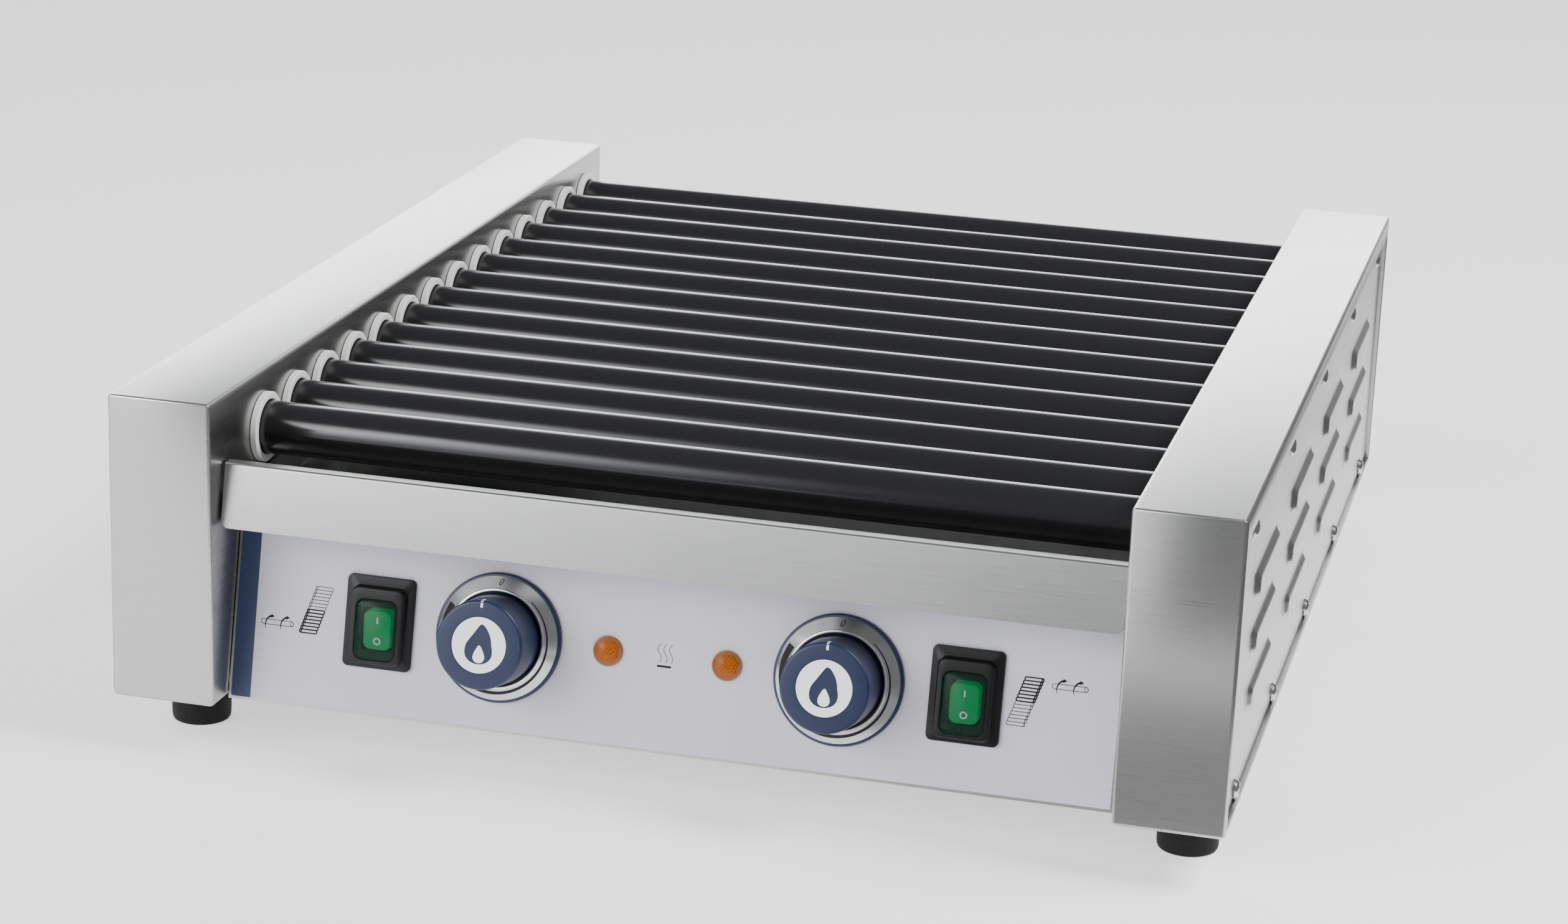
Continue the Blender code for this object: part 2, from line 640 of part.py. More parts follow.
STEEL = material("brushed stainless steel", (0.62, 0.63, 0.64), 0.32, 1.0)
ROLLER_BLACK = material("black coated roller", (0.012, 0.012, 0.013), 0.3)
PTFE = material("white bushing plastic", (0.80, 0.79, 0.76), 0.5)
HEATER = material("heating element", (0.25, 0.24, 0.23), 0.5, 1.0)
MOTOR_METAL = material("zinc plated steel", (0.45, 0.45, 0.46), 0.45, 1.0)
CHROME = material("silver dial ring", (0.75, 0.76, 0.78), 0.2, 1.0)
NAVY = material("navy knob plastic", (0.03, 0.05, 0.13), 0.4)
BLACK = material("black moulded plastic", (0.02, 0.02, 0.02), 0.45)
BLACK_RUBBER = material("black rubber", (0.02, 0.02, 0.02), 0.8)
GREEN = material("green rocker plastic", (0.01, 0.35, 0.12), 0.35)
AMBER = material("amber lens", (0.75, 0.28, 0.03), 0.2)

make_grill()
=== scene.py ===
import math

import bmesh
import bpy
from mathutils import Matrix, Vector


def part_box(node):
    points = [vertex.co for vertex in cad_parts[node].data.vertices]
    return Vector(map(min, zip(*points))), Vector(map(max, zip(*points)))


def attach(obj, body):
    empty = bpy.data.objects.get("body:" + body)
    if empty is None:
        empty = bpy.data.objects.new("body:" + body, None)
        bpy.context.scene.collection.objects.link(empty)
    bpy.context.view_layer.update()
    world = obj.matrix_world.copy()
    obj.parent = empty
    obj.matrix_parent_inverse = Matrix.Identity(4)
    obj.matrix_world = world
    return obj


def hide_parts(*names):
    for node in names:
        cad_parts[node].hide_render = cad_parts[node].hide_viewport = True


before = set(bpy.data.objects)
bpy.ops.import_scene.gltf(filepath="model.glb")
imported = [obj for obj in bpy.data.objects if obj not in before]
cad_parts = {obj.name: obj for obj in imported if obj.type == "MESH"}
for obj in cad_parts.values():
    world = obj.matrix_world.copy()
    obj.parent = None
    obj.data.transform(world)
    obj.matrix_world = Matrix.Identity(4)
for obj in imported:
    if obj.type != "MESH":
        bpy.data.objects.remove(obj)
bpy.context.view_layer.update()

scene = bpy.context.scene
toMetres = Matrix.Scale(0.001, 4)  # shapes are drawn in millimetres
print("frame loaded")


def boxOf(node):
    # lowest and highest corner of a CAD node, in millimetres
    low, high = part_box(node)
    return low * 1000, high * 1000


def addNode(tree, kind, settings=None, links=None):
    node = tree.nodes.new(kind)
    for key, value in (settings or {}).items():
        if isinstance(key, str) and hasattr(node, key):
            setattr(node, key, value)
        else:
            node.inputs[key].default_value = value
    for key, socket in (links or {}).items():
        tree.links.new(socket, node.inputs[key])
    return node


def linear(colour):
    # an sRGB hex colour as the linear values that sockets take
    parts = [int(colour[i:i + 2], 16) / 255 for i in (1, 3, 5)]
    return [part / 12.92 if part < 0.04045 else ((part + 0.055) / 1.055) ** 2.4 for part in parts] + [1.0]


def shapeOf(mesh):
    shape = bmesh.new()
    shape.from_mesh(mesh)
    bpy.data.meshes.remove(mesh)
    return shape


def settled(holder):
    # the evaluated result as a plain mesh, and the helper object removed
    scene.collection.objects.link(holder)
    graph = bpy.context.evaluated_depsgraph_get()
    mesh = bpy.data.meshes.new_from_object(holder.evaluated_get(graph))
    bpy.data.objects.remove(holder)
    return mesh


def joined(*shapes):
    whole = bmesh.new()
    for shape in shapes:
        carrier = bpy.data.meshes.new("carrier")
        shape.to_mesh(carrier)
        shape.free()
        whole.from_mesh(carrier)
        bpy.data.meshes.remove(carrier)
    return whole


def facesOut(shape):
    bmesh.ops.remove_doubles(shape, verts=shape.verts, dist=1e-4)
    bmesh.ops.recalc_face_normals(shape, faces=shape.faces)
    return shape


def makePiece(name, parts, body, replaced=(), place=Matrix(), sharp=32):
    # parts are (shape, finish) pairs drawn in the same place; edges over sharp degrees stay crisp
    finishes = []
    for shape, finish in parts:
        if finish not in finishes:
            finishes.append(finish)
        for face in shape.faces:
            face.material_index = finishes.index(finish)
    whole = joined(*[shape for shape, finish in parts])
    mesh = bpy.data.meshes.new(name)
    whole.to_mesh(mesh)
    whole.free()
    mesh.transform(toMetres @ place)
    for finish in finishes:
        mesh.materials.append(finish)
    mesh.shade_smooth()
    mesh.set_sharp_from_angle(angle=math.radians(sharp))
    piece = bpy.data.objects.new(name, mesh)
    scene.collection.objects.link(piece)
    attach(piece, body)
    if replaced:
        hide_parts(*replaced)


# outlines and solids

def rounded(points, radius, steps=5, closed=True):
    # a polyline with its corners turned to arcs
    count = len(points)
    radii = radius if isinstance(radius, (list, tuple)) else [radius] * count
    made = []
    for i, corner in enumerate(points):
        here = Vector(corner)
        if radii[i] <= 0 or (not closed and i in (0, count - 1)):
            made.append(tuple(here))
            continue
        before = (Vector(points[i - 1]) - here).normalized()
        after = (Vector(points[(i + 1) % count]) - here).normalized()
        half = before.angle(after) / 2
        middle = here + (before + after).normalized() * (radii[i] / math.sin(half))
        first = here + before * (radii[i] / math.tan(half)) - middle
        last = here + after * (radii[i] / math.tan(half)) - middle
        start = math.atan2(first.y, first.x)
        sweep = (math.atan2(last.y, last.x) - start + math.pi) % (2 * math.pi) - math.pi
        for k in range(steps + 1):
            angle = start + sweep * k / steps
            made.append((middle.x + radii[i] * math.cos(angle),
                         middle.y + radii[i] * math.sin(angle)))
    return made


def panelRect(halfX, halfY, radius, middle=(0, 0), steps=5):
    x, y = middle
    ways = ((-1, -1), (1, -1), (1, 1), (-1, 1))
    return rounded([(x + i * halfX, y + j * halfY) for i, j in ways], radius, steps)


def circle(radius, middle=(0, 0), steps=48):
    turns = [2 * math.pi * k / steps for k in range(steps)]
    return [(middle[0] + radius * math.cos(turn), middle[1] + radius * math.sin(turn)) for turn in turns]


def stacked(rings, hollow=False):
    # a solid through level rings of (outline, height), all with the same number of points;
    # a hollow one joins its last ring to its first, as on a frame with a hole
    shape = bmesh.new()
    rows = [[shape.verts.new((x, y, height)) for x, y in outline] for outline, height in rings]
    if not hollow:
        shape.faces.new(rows[0][::-1])
        shape.faces.new(rows[-1])
    for below, above in zip(rows, rows[1:] + (rows[:1] if hollow else [])):
        for i in range(len(below)):
            j = (i + 1) % len(below)
            shape.faces.new((below[i], below[j], above[j], above[i]))
    return facesOut(shape)


def prism(outline, low, high):
    return stacked([(outline, low), (outline, high)])


def cutSheet(outlines, low, high):
    # flat sheet with holes, filled as a flat curve
    curve = bpy.data.curves.new("cut sheet", "CURVE")
    curve.dimensions = "2D"
    curve.fill_mode = "BOTH"
    curve.extrude = (high - low) / 2
    for outline in outlines:
        spline = curve.splines.new("POLY")
        spline.points.add(len(outline) - 1)
        for point, spot in zip(spline.points, outline):
            point.co = (*spot, 0, 1)
        spline.use_cyclic_u = True
    shape = shapeOf(settled(bpy.data.objects.new("cut sheet", curve)))
    bmesh.ops.translate(shape, verts=shape.verts, vec=(0, 0, (low + high) / 2))
    return facesOut(shape)


def lathe(outline, steps=64):
    # turned about Z from (radius, height) points; repeat the first point to close a ring
    shape = bmesh.new()
    spots = [shape.verts.new((radius, 0, height)) for radius, height in outline]
    edges = [shape.edges.new(pair) for pair in zip(spots, spots[1:])]
    bmesh.ops.spin(shape, geom=spots + edges, cent=(0, 0, 0), axis=(0, 0, 1),
                   angle=2 * math.pi, steps=steps)
    return facesOut(shape)


def ribbon(path, width, low=0.0, high=0.03):
    # a flat printed stroke, width given as one number or one for each point
    widths = width if isinstance(width, (list, tuple)) else [width] * len(path)
    left, right = [], []
    for i, spot in enumerate(path):
        ahead = Vector(path[min(i + 1, len(path) - 1)]) - Vector(path[max(i - 1, 0)])
        across = Vector((-ahead.y, ahead.x)).normalized() * widths[i] / 2
        left.append((spot[0] + across.x, spot[1] + across.y))
        right.append((spot[0] - across.x, spot[1] - across.y))
    return prism(right + left[::-1], low, high)


def foldedSheet(path, radius, thickness, low, high):
    # sheet folded along a (y, z) path whose inside is on its left, as wide as low to high in x
    line = [Vector(spot) for spot in rounded(path, radius, 6, closed=False)]
    inner = []
    for i, here in enumerate(line):
        back = (here - line[i - 1]).normalized() if i else None
        ahead = (line[i + 1] - here).normalized() if i < len(line) - 1 else back
        back = back or ahead
        across = Vector((-back.y - ahead.y, back.x + ahead.x)).normalized()
        inner.append(here + across * thickness / max(across.dot(Vector((-back.y, back.x))), 0.5))
    shape = prism([tuple(spot) for spot in line + inner[::-1]], low, high)
    shape.transform(Matrix(((0, 0, 1, 0), (1, 0, 0, 0), (0, 1, 0, 0), (0, 0, 0, 1))))
    return shape


def moved(shape, matrix):
    shape.transform(matrix)
    return shape


def asObject(shape):
    mesh = bpy.data.meshes.new("helper")
    shape.to_mesh(mesh)
    shape.free()
    return bpy.data.objects.new("helper", mesh)


def cutBy(shape, cutter):
    target, tool = asObject(shape), asObject(cutter)
    scene.collection.objects.link(tool)
    cut = target.modifiers.new("cut", "BOOLEAN")
    cut.operation = "DIFFERENCE"
    cut.object = tool
    mesh = settled(target)
    bpy.data.objects.remove(tool)
    return shapeOf(mesh)


def cadShape(node):
    # a welded copy of a CAD node, in millimetres
    shape = bmesh.new()
    shape.from_mesh(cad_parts[node].data)
    shape.transform(Matrix.Scale(1000, 4))
    bmesh.ops.remove_doubles(shape, verts=shape.verts, dist=0.002)
    flat = math.radians(0.6)
    bmesh.ops.dissolve_limit(shape, angle_limit=flat, verts=shape.verts, edges=shape.edges)
    return shape


def softenEdges(shape, widthOf, segments=4):
    # rounds each edge by the width that widthOf gives for it, in millimetres
    weights = shape.edges.layers.float.new("bevel_weight_edge")
    widest = 0.0
    for edge in shape.edges:
        edge[weights] = widthOf(*[vert.co for vert in edge.verts])
        widest = max(widest, edge[weights])
    for edge in shape.edges:
        edge[weights] /= widest
    holder = asObject(shape)
    soften = holder.modifiers.new("soften", "BEVEL")
    soften.limit_method = "WEIGHT"
    soften.width = widest
    soften.segments = segments
    soften.use_clamp_overlap = True
    return shapeOf(settled(holder))


# finishes

def grain(tree, size, detail=3.0):
    # noise from 0 to 1 with features of this many millimetres, one number or one for each axis
    sizes = size if isinstance(size, tuple) else (size, size, size)
    spot = addNode(tree, "ShaderNodeTexCoord")
    scaled = addNode(tree, "ShaderNodeMapping", {"Scale": [1000 / length for length in sizes]},
                     {"Vector": spot.outputs["Object"]})
    return addNode(tree, "ShaderNodeTexNoise", {"Scale": 1.0, "Detail": detail},
                   {"Vector": scaled.outputs[0]}).outputs[0]


def spread(tree, value, low, high, fromLow=0.3, fromHigh=0.7):
    return addNode(tree, "ShaderNodeMapRange",
                   {"From Min": fromLow, "From Max": fromHigh, "To Min": low, "To Max": high},
                   {"Value": value}).outputs[0]


def makeFinish(name, tones, roughness, pattern, relief, sockets=None):
    # tones and roughness follow the pattern, which is a grain size in millimetres or a function that
    # adds the nodes; relief is its height in millimetres
    finish = bpy.data.materials.new(name)
    finish.use_nodes = True
    tree = finish.node_tree
    shader = tree.nodes["Principled BSDF"]
    for key, value in (sockets or {}).items():
        shader.inputs[key].default_value = value
    value = pattern(tree) if callable(pattern) else grain(tree, pattern)
    colours = {"data_type": "RGBA", 6: linear(tones[0]), 7: linear(tones[1])}
    blend = addNode(tree, "ShaderNodeMix", colours, {0: value})
    tree.links.new(blend.outputs[2], shader.inputs["Base Color"])
    tree.links.new(spread(tree, value, *roughness), shader.inputs["Roughness"])
    height = {"Strength": 1.0, "Distance": relief / 1000}
    bump = addNode(tree, "ShaderNodeBump", height, {"Height": value})
    tree.links.new(bump.outputs[0], shader.inputs["Normal"])
    return finish


def mixed(tree, share, first, second):
    # blends two values, each given like the share as a number or a socket
    given = {0: share, 2: first, 3: second}
    links = {key: value for key, value in given.items() if isinstance(value, bpy.types.NodeSocket)}
    fixed = {key: value for key, value in given.items() if key not in links}
    return addNode(tree, "ShaderNodeMix", {"data_type": "FLOAT", **fixed}, links).outputs[0]


beltSizes = {"long": 28, "wide": 0.4, "cloud": 70, "cloudShare": 0.3}


def beltStreaks(alongX, byFace=False):
    # belt scratches 0.05 mm wide, drawn 0.4 mm wide so that they show, with slow changes of tone;
    # by face, the ends of a part that is brushed along Y are brushed along X
    long, wide, cloud, share = beltSizes.values()

    def pattern(tree):
        streaks = grain(tree, (long, wide, wide) if alongX else (wide, long, wide), 2.0)
        if byFace:
            normal = addNode(tree, "ShaderNodeNewGeometry").outputs["Normal"]
            lean = addNode(tree, "ShaderNodeSeparateXYZ", {}, {0: normal}).outputs[1]
            size = addNode(tree, "ShaderNodeMath", {"operation": "ABSOLUTE"}, {0: lean}).outputs[0]
            onEnd = addNode(tree, "ShaderNodeMath", {"operation": "GREATER_THAN", 1: 0.7}, {0: size})
            streaks = mixed(tree, onEnd.outputs[0], streaks, grain(tree, (long, wide, wide), 2.0))
        return mixed(tree, share, streaks, grain(tree, cloud, 2.0))
    return pattern


def weaveGrid(pitch, slope):
    # a raised cross-hatch, its rows level and its columns following the panel's slope
    def pattern(tree):
        spot = addNode(tree, "ShaderNodeTexCoord")
        turned = addNode(tree, "ShaderNodeMapping", {"Rotation": (-slope, 0, 0)},
                         {"Vector": spot.outputs["Object"]})
        bands = 20 / (2 * math.pi)  # in one unit at scale 1
        wave = {"wave_type": "BANDS", "Scale": 1000 / pitch / bands}
        waves = [addNode(tree, "ShaderNodeTexWave", {**wave, "bands_direction": way},
                         {"Vector": turned.outputs[0]}).outputs["Fac"] for way in ("X", "Y")]
        crossed = addNode(tree, "ShaderNodeMath", {"operation": "MULTIPLY"}, {0: waves[0], 1: waves[1]})
        return crossed.outputs[0]
    return pattern


slope = math.radians(12)  # the control panel and the tray's fascia lean back

# 304 stainless sheet, belt brushed: grey-white metal whose long scratches stretch each highlight
steelSides = makeFinish("brushed 304 stainless", ("#aaaaa9", "#b8b8b7"), (0.26, 0.32),
                        beltStreaks(False, True), 0.0001, {"Metallic": 1.0})
steelAcross = makeFinish("brushed 304 stainless, cross grain", ("#aaaaa9", "#b8b8b7"), (0.27, 0.33),
                         beltStreaks(True), 0.00015, {"Metallic": 1.0})
# cold-headed stainless screws, tumbled bright
screwSteel = makeFinish("tumbled stainless screw", ("#b9b9b8", "#d2d2d0"), (0.14, 0.26),
                        0.8, 0.004, {"Metallic": 1.0})
# sprayed non-stick coat on steel tube: satin charcoal black with a soft clear line of light
rollerCoat = makeFinish("sprayed non-stick coating", ("#171718", "#1d1d1f"), (0.17, 0.21),
                        1.6, 0.0003, {"IOR": 1.5})
# turned white acetal: off-white, dull, with faint tool marks
acetal = {"IOR": 1.48, "Subsurface Weight": 0.05, "Subsurface Radius": (0.002, 0.002, 0.0018)}
bushWhite = makeFinish("turned white acetal", ("#eeedea", "#f7f6f4"), (0.42, 0.55), (3, 0.5, 0.5), 0.003,
                       acetal)
# back-printed polyester label film: pale lavender grey with a fine matt grain
labelFilm = makeFinish("printed polyester film, grey", ("#bab9c3", "#c6c5ce"), (0.45, 0.60),
                       0.5, 0.003, {"IOR": 1.5})
labelNavy = makeFinish("printed polyester film, navy", ("#1d2946", "#24325a"), (0.42, 0.55),
                       0.5, 0.003, {"IOR": 1.5})
# screen-printing ink: flat black with slightly uneven cover
ink = makeFinish("screen ink, black", ("#0d0c0e", "#171519"), (0.5, 0.65), 0.6, 0.001,
                 {"Specular IOR Level": 0.25})
inkWhite = makeFinish("pad ink, white", ("#e6e8eb", "#f2f3f5"), (0.40, 0.52), 0.8, 0.001)
# injection-moulded ABS, satin texture: deep navy with a soft sheen
navyAbs = makeFinish("moulded navy ABS", ("#131b38", "#172142"), (0.30, 0.40), 0.7, 0.001, {"IOR": 1.45})
# spun aluminium foil ring: bright silver with a soft band of light
dialSilver = makeFinish("spun aluminium", ("#b4b5b8", "#bfc0c3"), (0.20, 0.26), 6, 0.0001,
                        {"Metallic": 1.0})
chromeLip = makeFinish("bright chromed lip", ("#d0d1d4", "#e2e3e6"), (0.07, 0.12), 6, 0.0001,
                       {"Metallic": 1.0})
# glass-filled nylon, spark-eroded mould: soft black
blackNylon = makeFinish("moulded black nylon", ("#070708", "#0d0d0e"), (0.36, 0.50),
                        0.45, 0.002, {"IOR": 1.45, "Specular IOR Level": 0.35})
# thin green PVC splash cover: see-through, tinted, with a clean gloss
coverGreen = makeFinish("clear green PVC", ("#03281a", "#053522"), (0.12, 0.20), 6, 0.0002,
                        {"IOR": 1.4, "Alpha": 0.28, "Specular IOR Level": 0.3})
# translucent green polycarbonate key with a moulded cross-hatch, pitch 0.5 mm drawn at 0.9 mm; its green
# emission is painted glow, standing in for the light that would reach the key through the splash cover
keyGreenPaintedGlow = makeFinish("cross-hatched green polycarbonate with painted glow", ("#005c34", "#009a58"), (0.34, 0.44),
                      weaveGrid(0.9, math.pi / 2 - slope), 0.02,
                      {"IOR": 1.45, "Emission Color": linear("#00c468"), "Emission Strength": 0.36})
# amber polycarbonate lamp lens: clear outside, cut prisms inside
lensAmber = makeFinish("clear amber polycarbonate", ("#a05a1c", "#b06a24"), (0.05, 0.10), 3, 0.0002,
                       {"IOR": 1.5, "Alpha": 0.16})
prismAmber = makeFinish("prismatic amber polycarbonate", ("#c27c0c", "#f2ac2a"), (0.10, 0.18),
                        1.5, 0.0005, {"IOR": 1.5, "Metallic": 0.7})
lampShade = makeFinish("moulded amber lamp body", ("#6a340c", "#8a4a14"), (0.25, 0.4), 1.5, 0.001)
# moulded nitrile rubber: dull black with a slight bloom
footRubber = makeFinish("moulded black rubber", ("#08080a", "#101011"), (0.62, 0.80), 1.1, 0.005,
                        {"IOR": 1.45, "Specular IOR Level": 0.3})
# clear zinc plating: dull blue-grey metal
zincPlate = makeFinish("zinc-plated steel", ("#8f9398", "#adb1b6"), (0.34, 0.52), 4, 0.005,
                       {"Metallic": 1.0})
# chromium steel heater sheath, oxidised by use
heaterSheath = makeFinish("heat-tinted heater sheath", ("#4c4640", "#6d665d"), (0.40, 0.60), (6, 2, 2), 0.005,
                          {"Metallic": 1.0})
# drawn steel links with an oil film
chainSteel = makeFinish("oiled chain steel", ("#4a4b4e", "#6c6e72"), (0.25, 0.45), 2, 0.01,
                        {"Metallic": 1.0})
print("finishes made")


# Geometry Nodes trees

def newTree(name, inputs):
    tree = bpy.data.node_groups.new(name, "GeometryNodeTree")
    tree.interface.new_socket("Geometry", in_out="OUTPUT", socket_type="NodeSocketGeometry")
    tree.interface.new_socket("Geometry", in_out="INPUT", socket_type="NodeSocketGeometry")
    for label, kind in inputs.items():
        tree.interface.new_socket(label, in_out="INPUT", socket_type="NodeSocket" + kind)
    return tree, addNode(tree, "NodeGroupInput").outputs


def endTree(tree, geometry):
    real = addNode(tree, "GeometryNodeRealizeInstances", {}, {0: geometry})
    dressed = addNode(tree, "GeometryNodeSetMaterial", {}, {0: real.outputs[0]})
    source = next(node for node in tree.nodes if node.bl_idname == "NodeGroupInput")
    tree.links.new(source.outputs["Finish"], dressed.inputs["Material"])
    addNode(tree, "NodeGroupOutput", {}, {0: dressed.outputs[0]})
    return tree


def grow(tree, values):
    holder = bpy.data.objects.new("seed", bpy.data.meshes.new("seed"))
    growth = holder.modifiers.new("growth", "NODES")
    growth.node_group = tree
    for item in tree.interface.items_tree:
        if item.in_out == "INPUT" and item.name in values:
            growth[item.identifier] = values[item.name]
    return shapeOf(settled(holder))


def makeFieldTree():
    # copies of one piece in columns and rows
    tree, given = newTree("field of pieces", {
        "Piece": "Object", "Columns": "Int", "Column step": "Vector", "Rows": "Int", "Row step": "Vector",
        "First": "Vector", "Finish": "Material"})
    column = addNode(tree, "GeometryNodeMeshLine", {"mode": "OFFSET"}, {
        "Count": given["Columns"], "Offset": given["Column step"], "Start Location": given["First"]})
    row = addNode(tree, "GeometryNodeMeshLine", {"mode": "OFFSET"},
                  {"Count": given["Rows"], "Offset": given["Row step"]})
    spots = addNode(tree, "GeometryNodeInstanceOnPoints", {},
                    {"Points": row.outputs[0], "Instance": column.outputs[0]})
    flat = addNode(tree, "GeometryNodeRealizeInstances", {}, {0: spots.outputs[0]})
    piece = addNode(tree, "GeometryNodeObjectInfo", {}, {"Object": given["Piece"]})
    copies = addNode(tree, "GeometryNodeInstanceOnPoints", {},
                     {"Points": flat.outputs[0], "Instance": piece.outputs["Geometry"]})
    return endTree(tree, copies.outputs[0])


def ringSweep(tree, radius, width, length, edge, steps):
    # a ring whose section is a rectangle with rounded corners, about Z
    hoop = addNode(tree, "GeometryNodeCurvePrimitiveCircle", {"Resolution": steps}, {"Radius": radius})
    section = addNode(tree, "GeometryNodeCurvePrimitiveQuadrilateral", {}, {"Width": width, "Height": length})
    soft = addNode(tree, "GeometryNodeFilletCurve", {"mode": "POLY", "Count": 4},
                   {0: section.outputs[0], "Radius": edge})
    return addNode(tree, "GeometryNodeCurveToMesh", {}, {0: hoop.outputs[0], 1: soft.outputs[0]}).outputs[0]


def makeRollerTree():
    # a tube along X with its sprocket disc and teeth
    tree, given = newTree("roller tube", {
        "Tube radius": "Float", "Tube wall": "Float", "Length": "Float", "Edge": "Float", "Middle": "Vector",
        "Disc radius": "Float", "Disc width": "Float", "Disc thickness": "Float", "Disc place": "Vector",
        "Teeth": "Int", "Tooth size": "Vector", "Tooth circle": "Float", "Finish": "Material"})
    tube = ringSweep(tree, given["Tube radius"], given["Tube wall"], given["Length"], given["Edge"], 72)
    disc = ringSweep(tree, given["Disc radius"], given["Disc width"], given["Disc thickness"],
                     given["Edge"], 48)
    hoop = addNode(tree, "GeometryNodeMeshCircle", {},
                   {"Vertices": given["Teeth"], "Radius": given["Tooth circle"]})
    turned = addNode(tree, "FunctionNodeAlignRotationToVector", {"axis": "X"},
                     {"Vector": addNode(tree, "GeometryNodeInputPosition").outputs[0]})
    tooth = addNode(tree, "GeometryNodeMeshCube", {}, {"Size": given["Tooth size"]})
    teeth = addNode(tree, "GeometryNodeInstanceOnPoints", {}, {
        "Points": hoop.outputs[0], "Instance": tooth.outputs[0], "Rotation": turned.outputs[0]})
    wheel = addNode(tree, "GeometryNodeJoinGeometry")
    tree.links.new(disc, wheel.inputs[0])
    tree.links.new(teeth.outputs[0], wheel.inputs[0])
    lay = {"Rotation": (0, math.pi / 2, 0)}
    both = addNode(tree, "GeometryNodeJoinGeometry")
    for shape, place in ((tube, "Middle"), (wheel.outputs[0], "Disc place")):
        laid = addNode(tree, "GeometryNodeTransform", lay, {0: shape, "Translation": given[place]})
        tree.links.new(laid.outputs[0], both.inputs[0])
    return endTree(tree, both.outputs[0])


def makePrismTree():
    # small pyramids on a square grid, kept inside a circle
    tree, given = newTree("prism field", {"Side": "Float", "Count": "Int", "Circle": "Float",
                                          "Base": "Float", "Height": "Float", "Finish": "Material"})
    side, count = given["Side"], given["Count"]
    grid = addNode(tree, "GeometryNodeMeshGrid", {},
                   {"Size X": side, "Size Y": side, "Vertices X": count, "Vertices Y": count})
    spot = addNode(tree, "GeometryNodeInputPosition")
    away = addNode(tree, "ShaderNodeVectorMath", {"operation": "LENGTH"}, {0: spot.outputs[0]})
    inside = addNode(tree, "FunctionNodeCompare", {"operation": "LESS_THAN"},
                     {0: away.outputs["Value"], 1: given["Circle"]})
    pyramid = addNode(tree, "GeometryNodeMeshCone", {"Vertices": 4},
                      {"Radius Bottom": given["Base"], "Depth": given["Height"]})
    turned = addNode(tree, "GeometryNodeTransform", {"Rotation": (0, 0, math.pi / 4)},
                     {0: pyramid.outputs[0]})
    copies = addNode(tree, "GeometryNodeInstanceOnPoints", {}, {
        "Points": grid.outputs[0], "Selection": inside.outputs[0], "Instance": turned.outputs[0]})
    return endTree(tree, copies.outputs[0])


fieldTree, rollerTree, prismTree = makeFieldTree(), makeRollerTree(), makePrismTree()


def field(shape, finish, first, columns, columnStep, rows=1, rowStep=(0, 0, 0)):
    # the shape copied in columns and rows from its first place
    tool = asObject(shape)
    scene.collection.objects.link(tool)
    made = grow(fieldTree, {"Piece": tool, "Columns": columns, "Column step": columnStep, "Rows": rows,
                            "Row step": rowStep, "First": first, "Finish": finish})
    bpy.data.objects.remove(tool)
    return made


print("node trees built")

# side housings: the outside radius of each bend, by place
housingEdges = {"top": 2.2, "front": 1.8, "frontTop": 1.1, "bottomOuter": 2.6, "bottomInner": 2.2,
                "window": 0.5}


def makeHousing(side):
    name = "housing_" + side
    low, high = boxOf(name)
    outer, inner = (high.x, low.x) if side == "right" else (low.x, high.x)

    def at(value, target):
        return abs(value - target) < 0.05

    def widthOf(a, b):
        level, upright = at(a.z, b.z), at(a.x, b.x) and at(a.y, b.y)
        onEnd = at(a.y, b.y) and (at(a.y, low.y) or at(a.y, high.y))
        if onEnd and upright and (at(a.x, outer) or at(a.x, inner)):
            return housingEdges["front"]
        if onEnd and level and at(a.z, high.z):
            return housingEdges["frontTop"]
        if onEnd and level and at(a.z, low.z):
            return housingEdges["bottomInner"]
        if at(a.x, b.x) and level and (at(a.x, outer) or at(a.x, inner)):
            if at(a.z, high.z):
                return housingEdges["top"]
            if at(a.z, low.z):
                return housingEdges["bottomOuter" if at(a.x, outer) else "bottomInner"]
        if at(a.x, outer) and at(b.x, outer) and (level or at(a.y, b.y)):
            return housingEdges["window"]
        return 0.0

    shape = softenEdges(cadShape(name), widthOf)
    makePiece(name + "_shell", [(shape, steelSides)], "body", [name], sharp=38)


for side in ("left", "right"):
    makeHousing(side)
print("housings made")

# louvred covers and their screws

coverSizes = {"recess": 2.4, "sheet": 1.0, "corner": 2.5, "columns": 4, "rows": 3, "endMargin": 94.5,
              "rowPitch": 27.0, "length": 76.0, "tall": 13.0, "proud": 2.2, "skin": 0.8,
              "endRun": 6.4, "topRun": 4.2, "footRound": 4.0, "footIn": 2.6}
screwSizes = {"columns": 5, "pitch": 127.0, "rowDrop": 4.25, "headRadius": 4.7, "headTall": 2.7,
              "recess": 1.2}


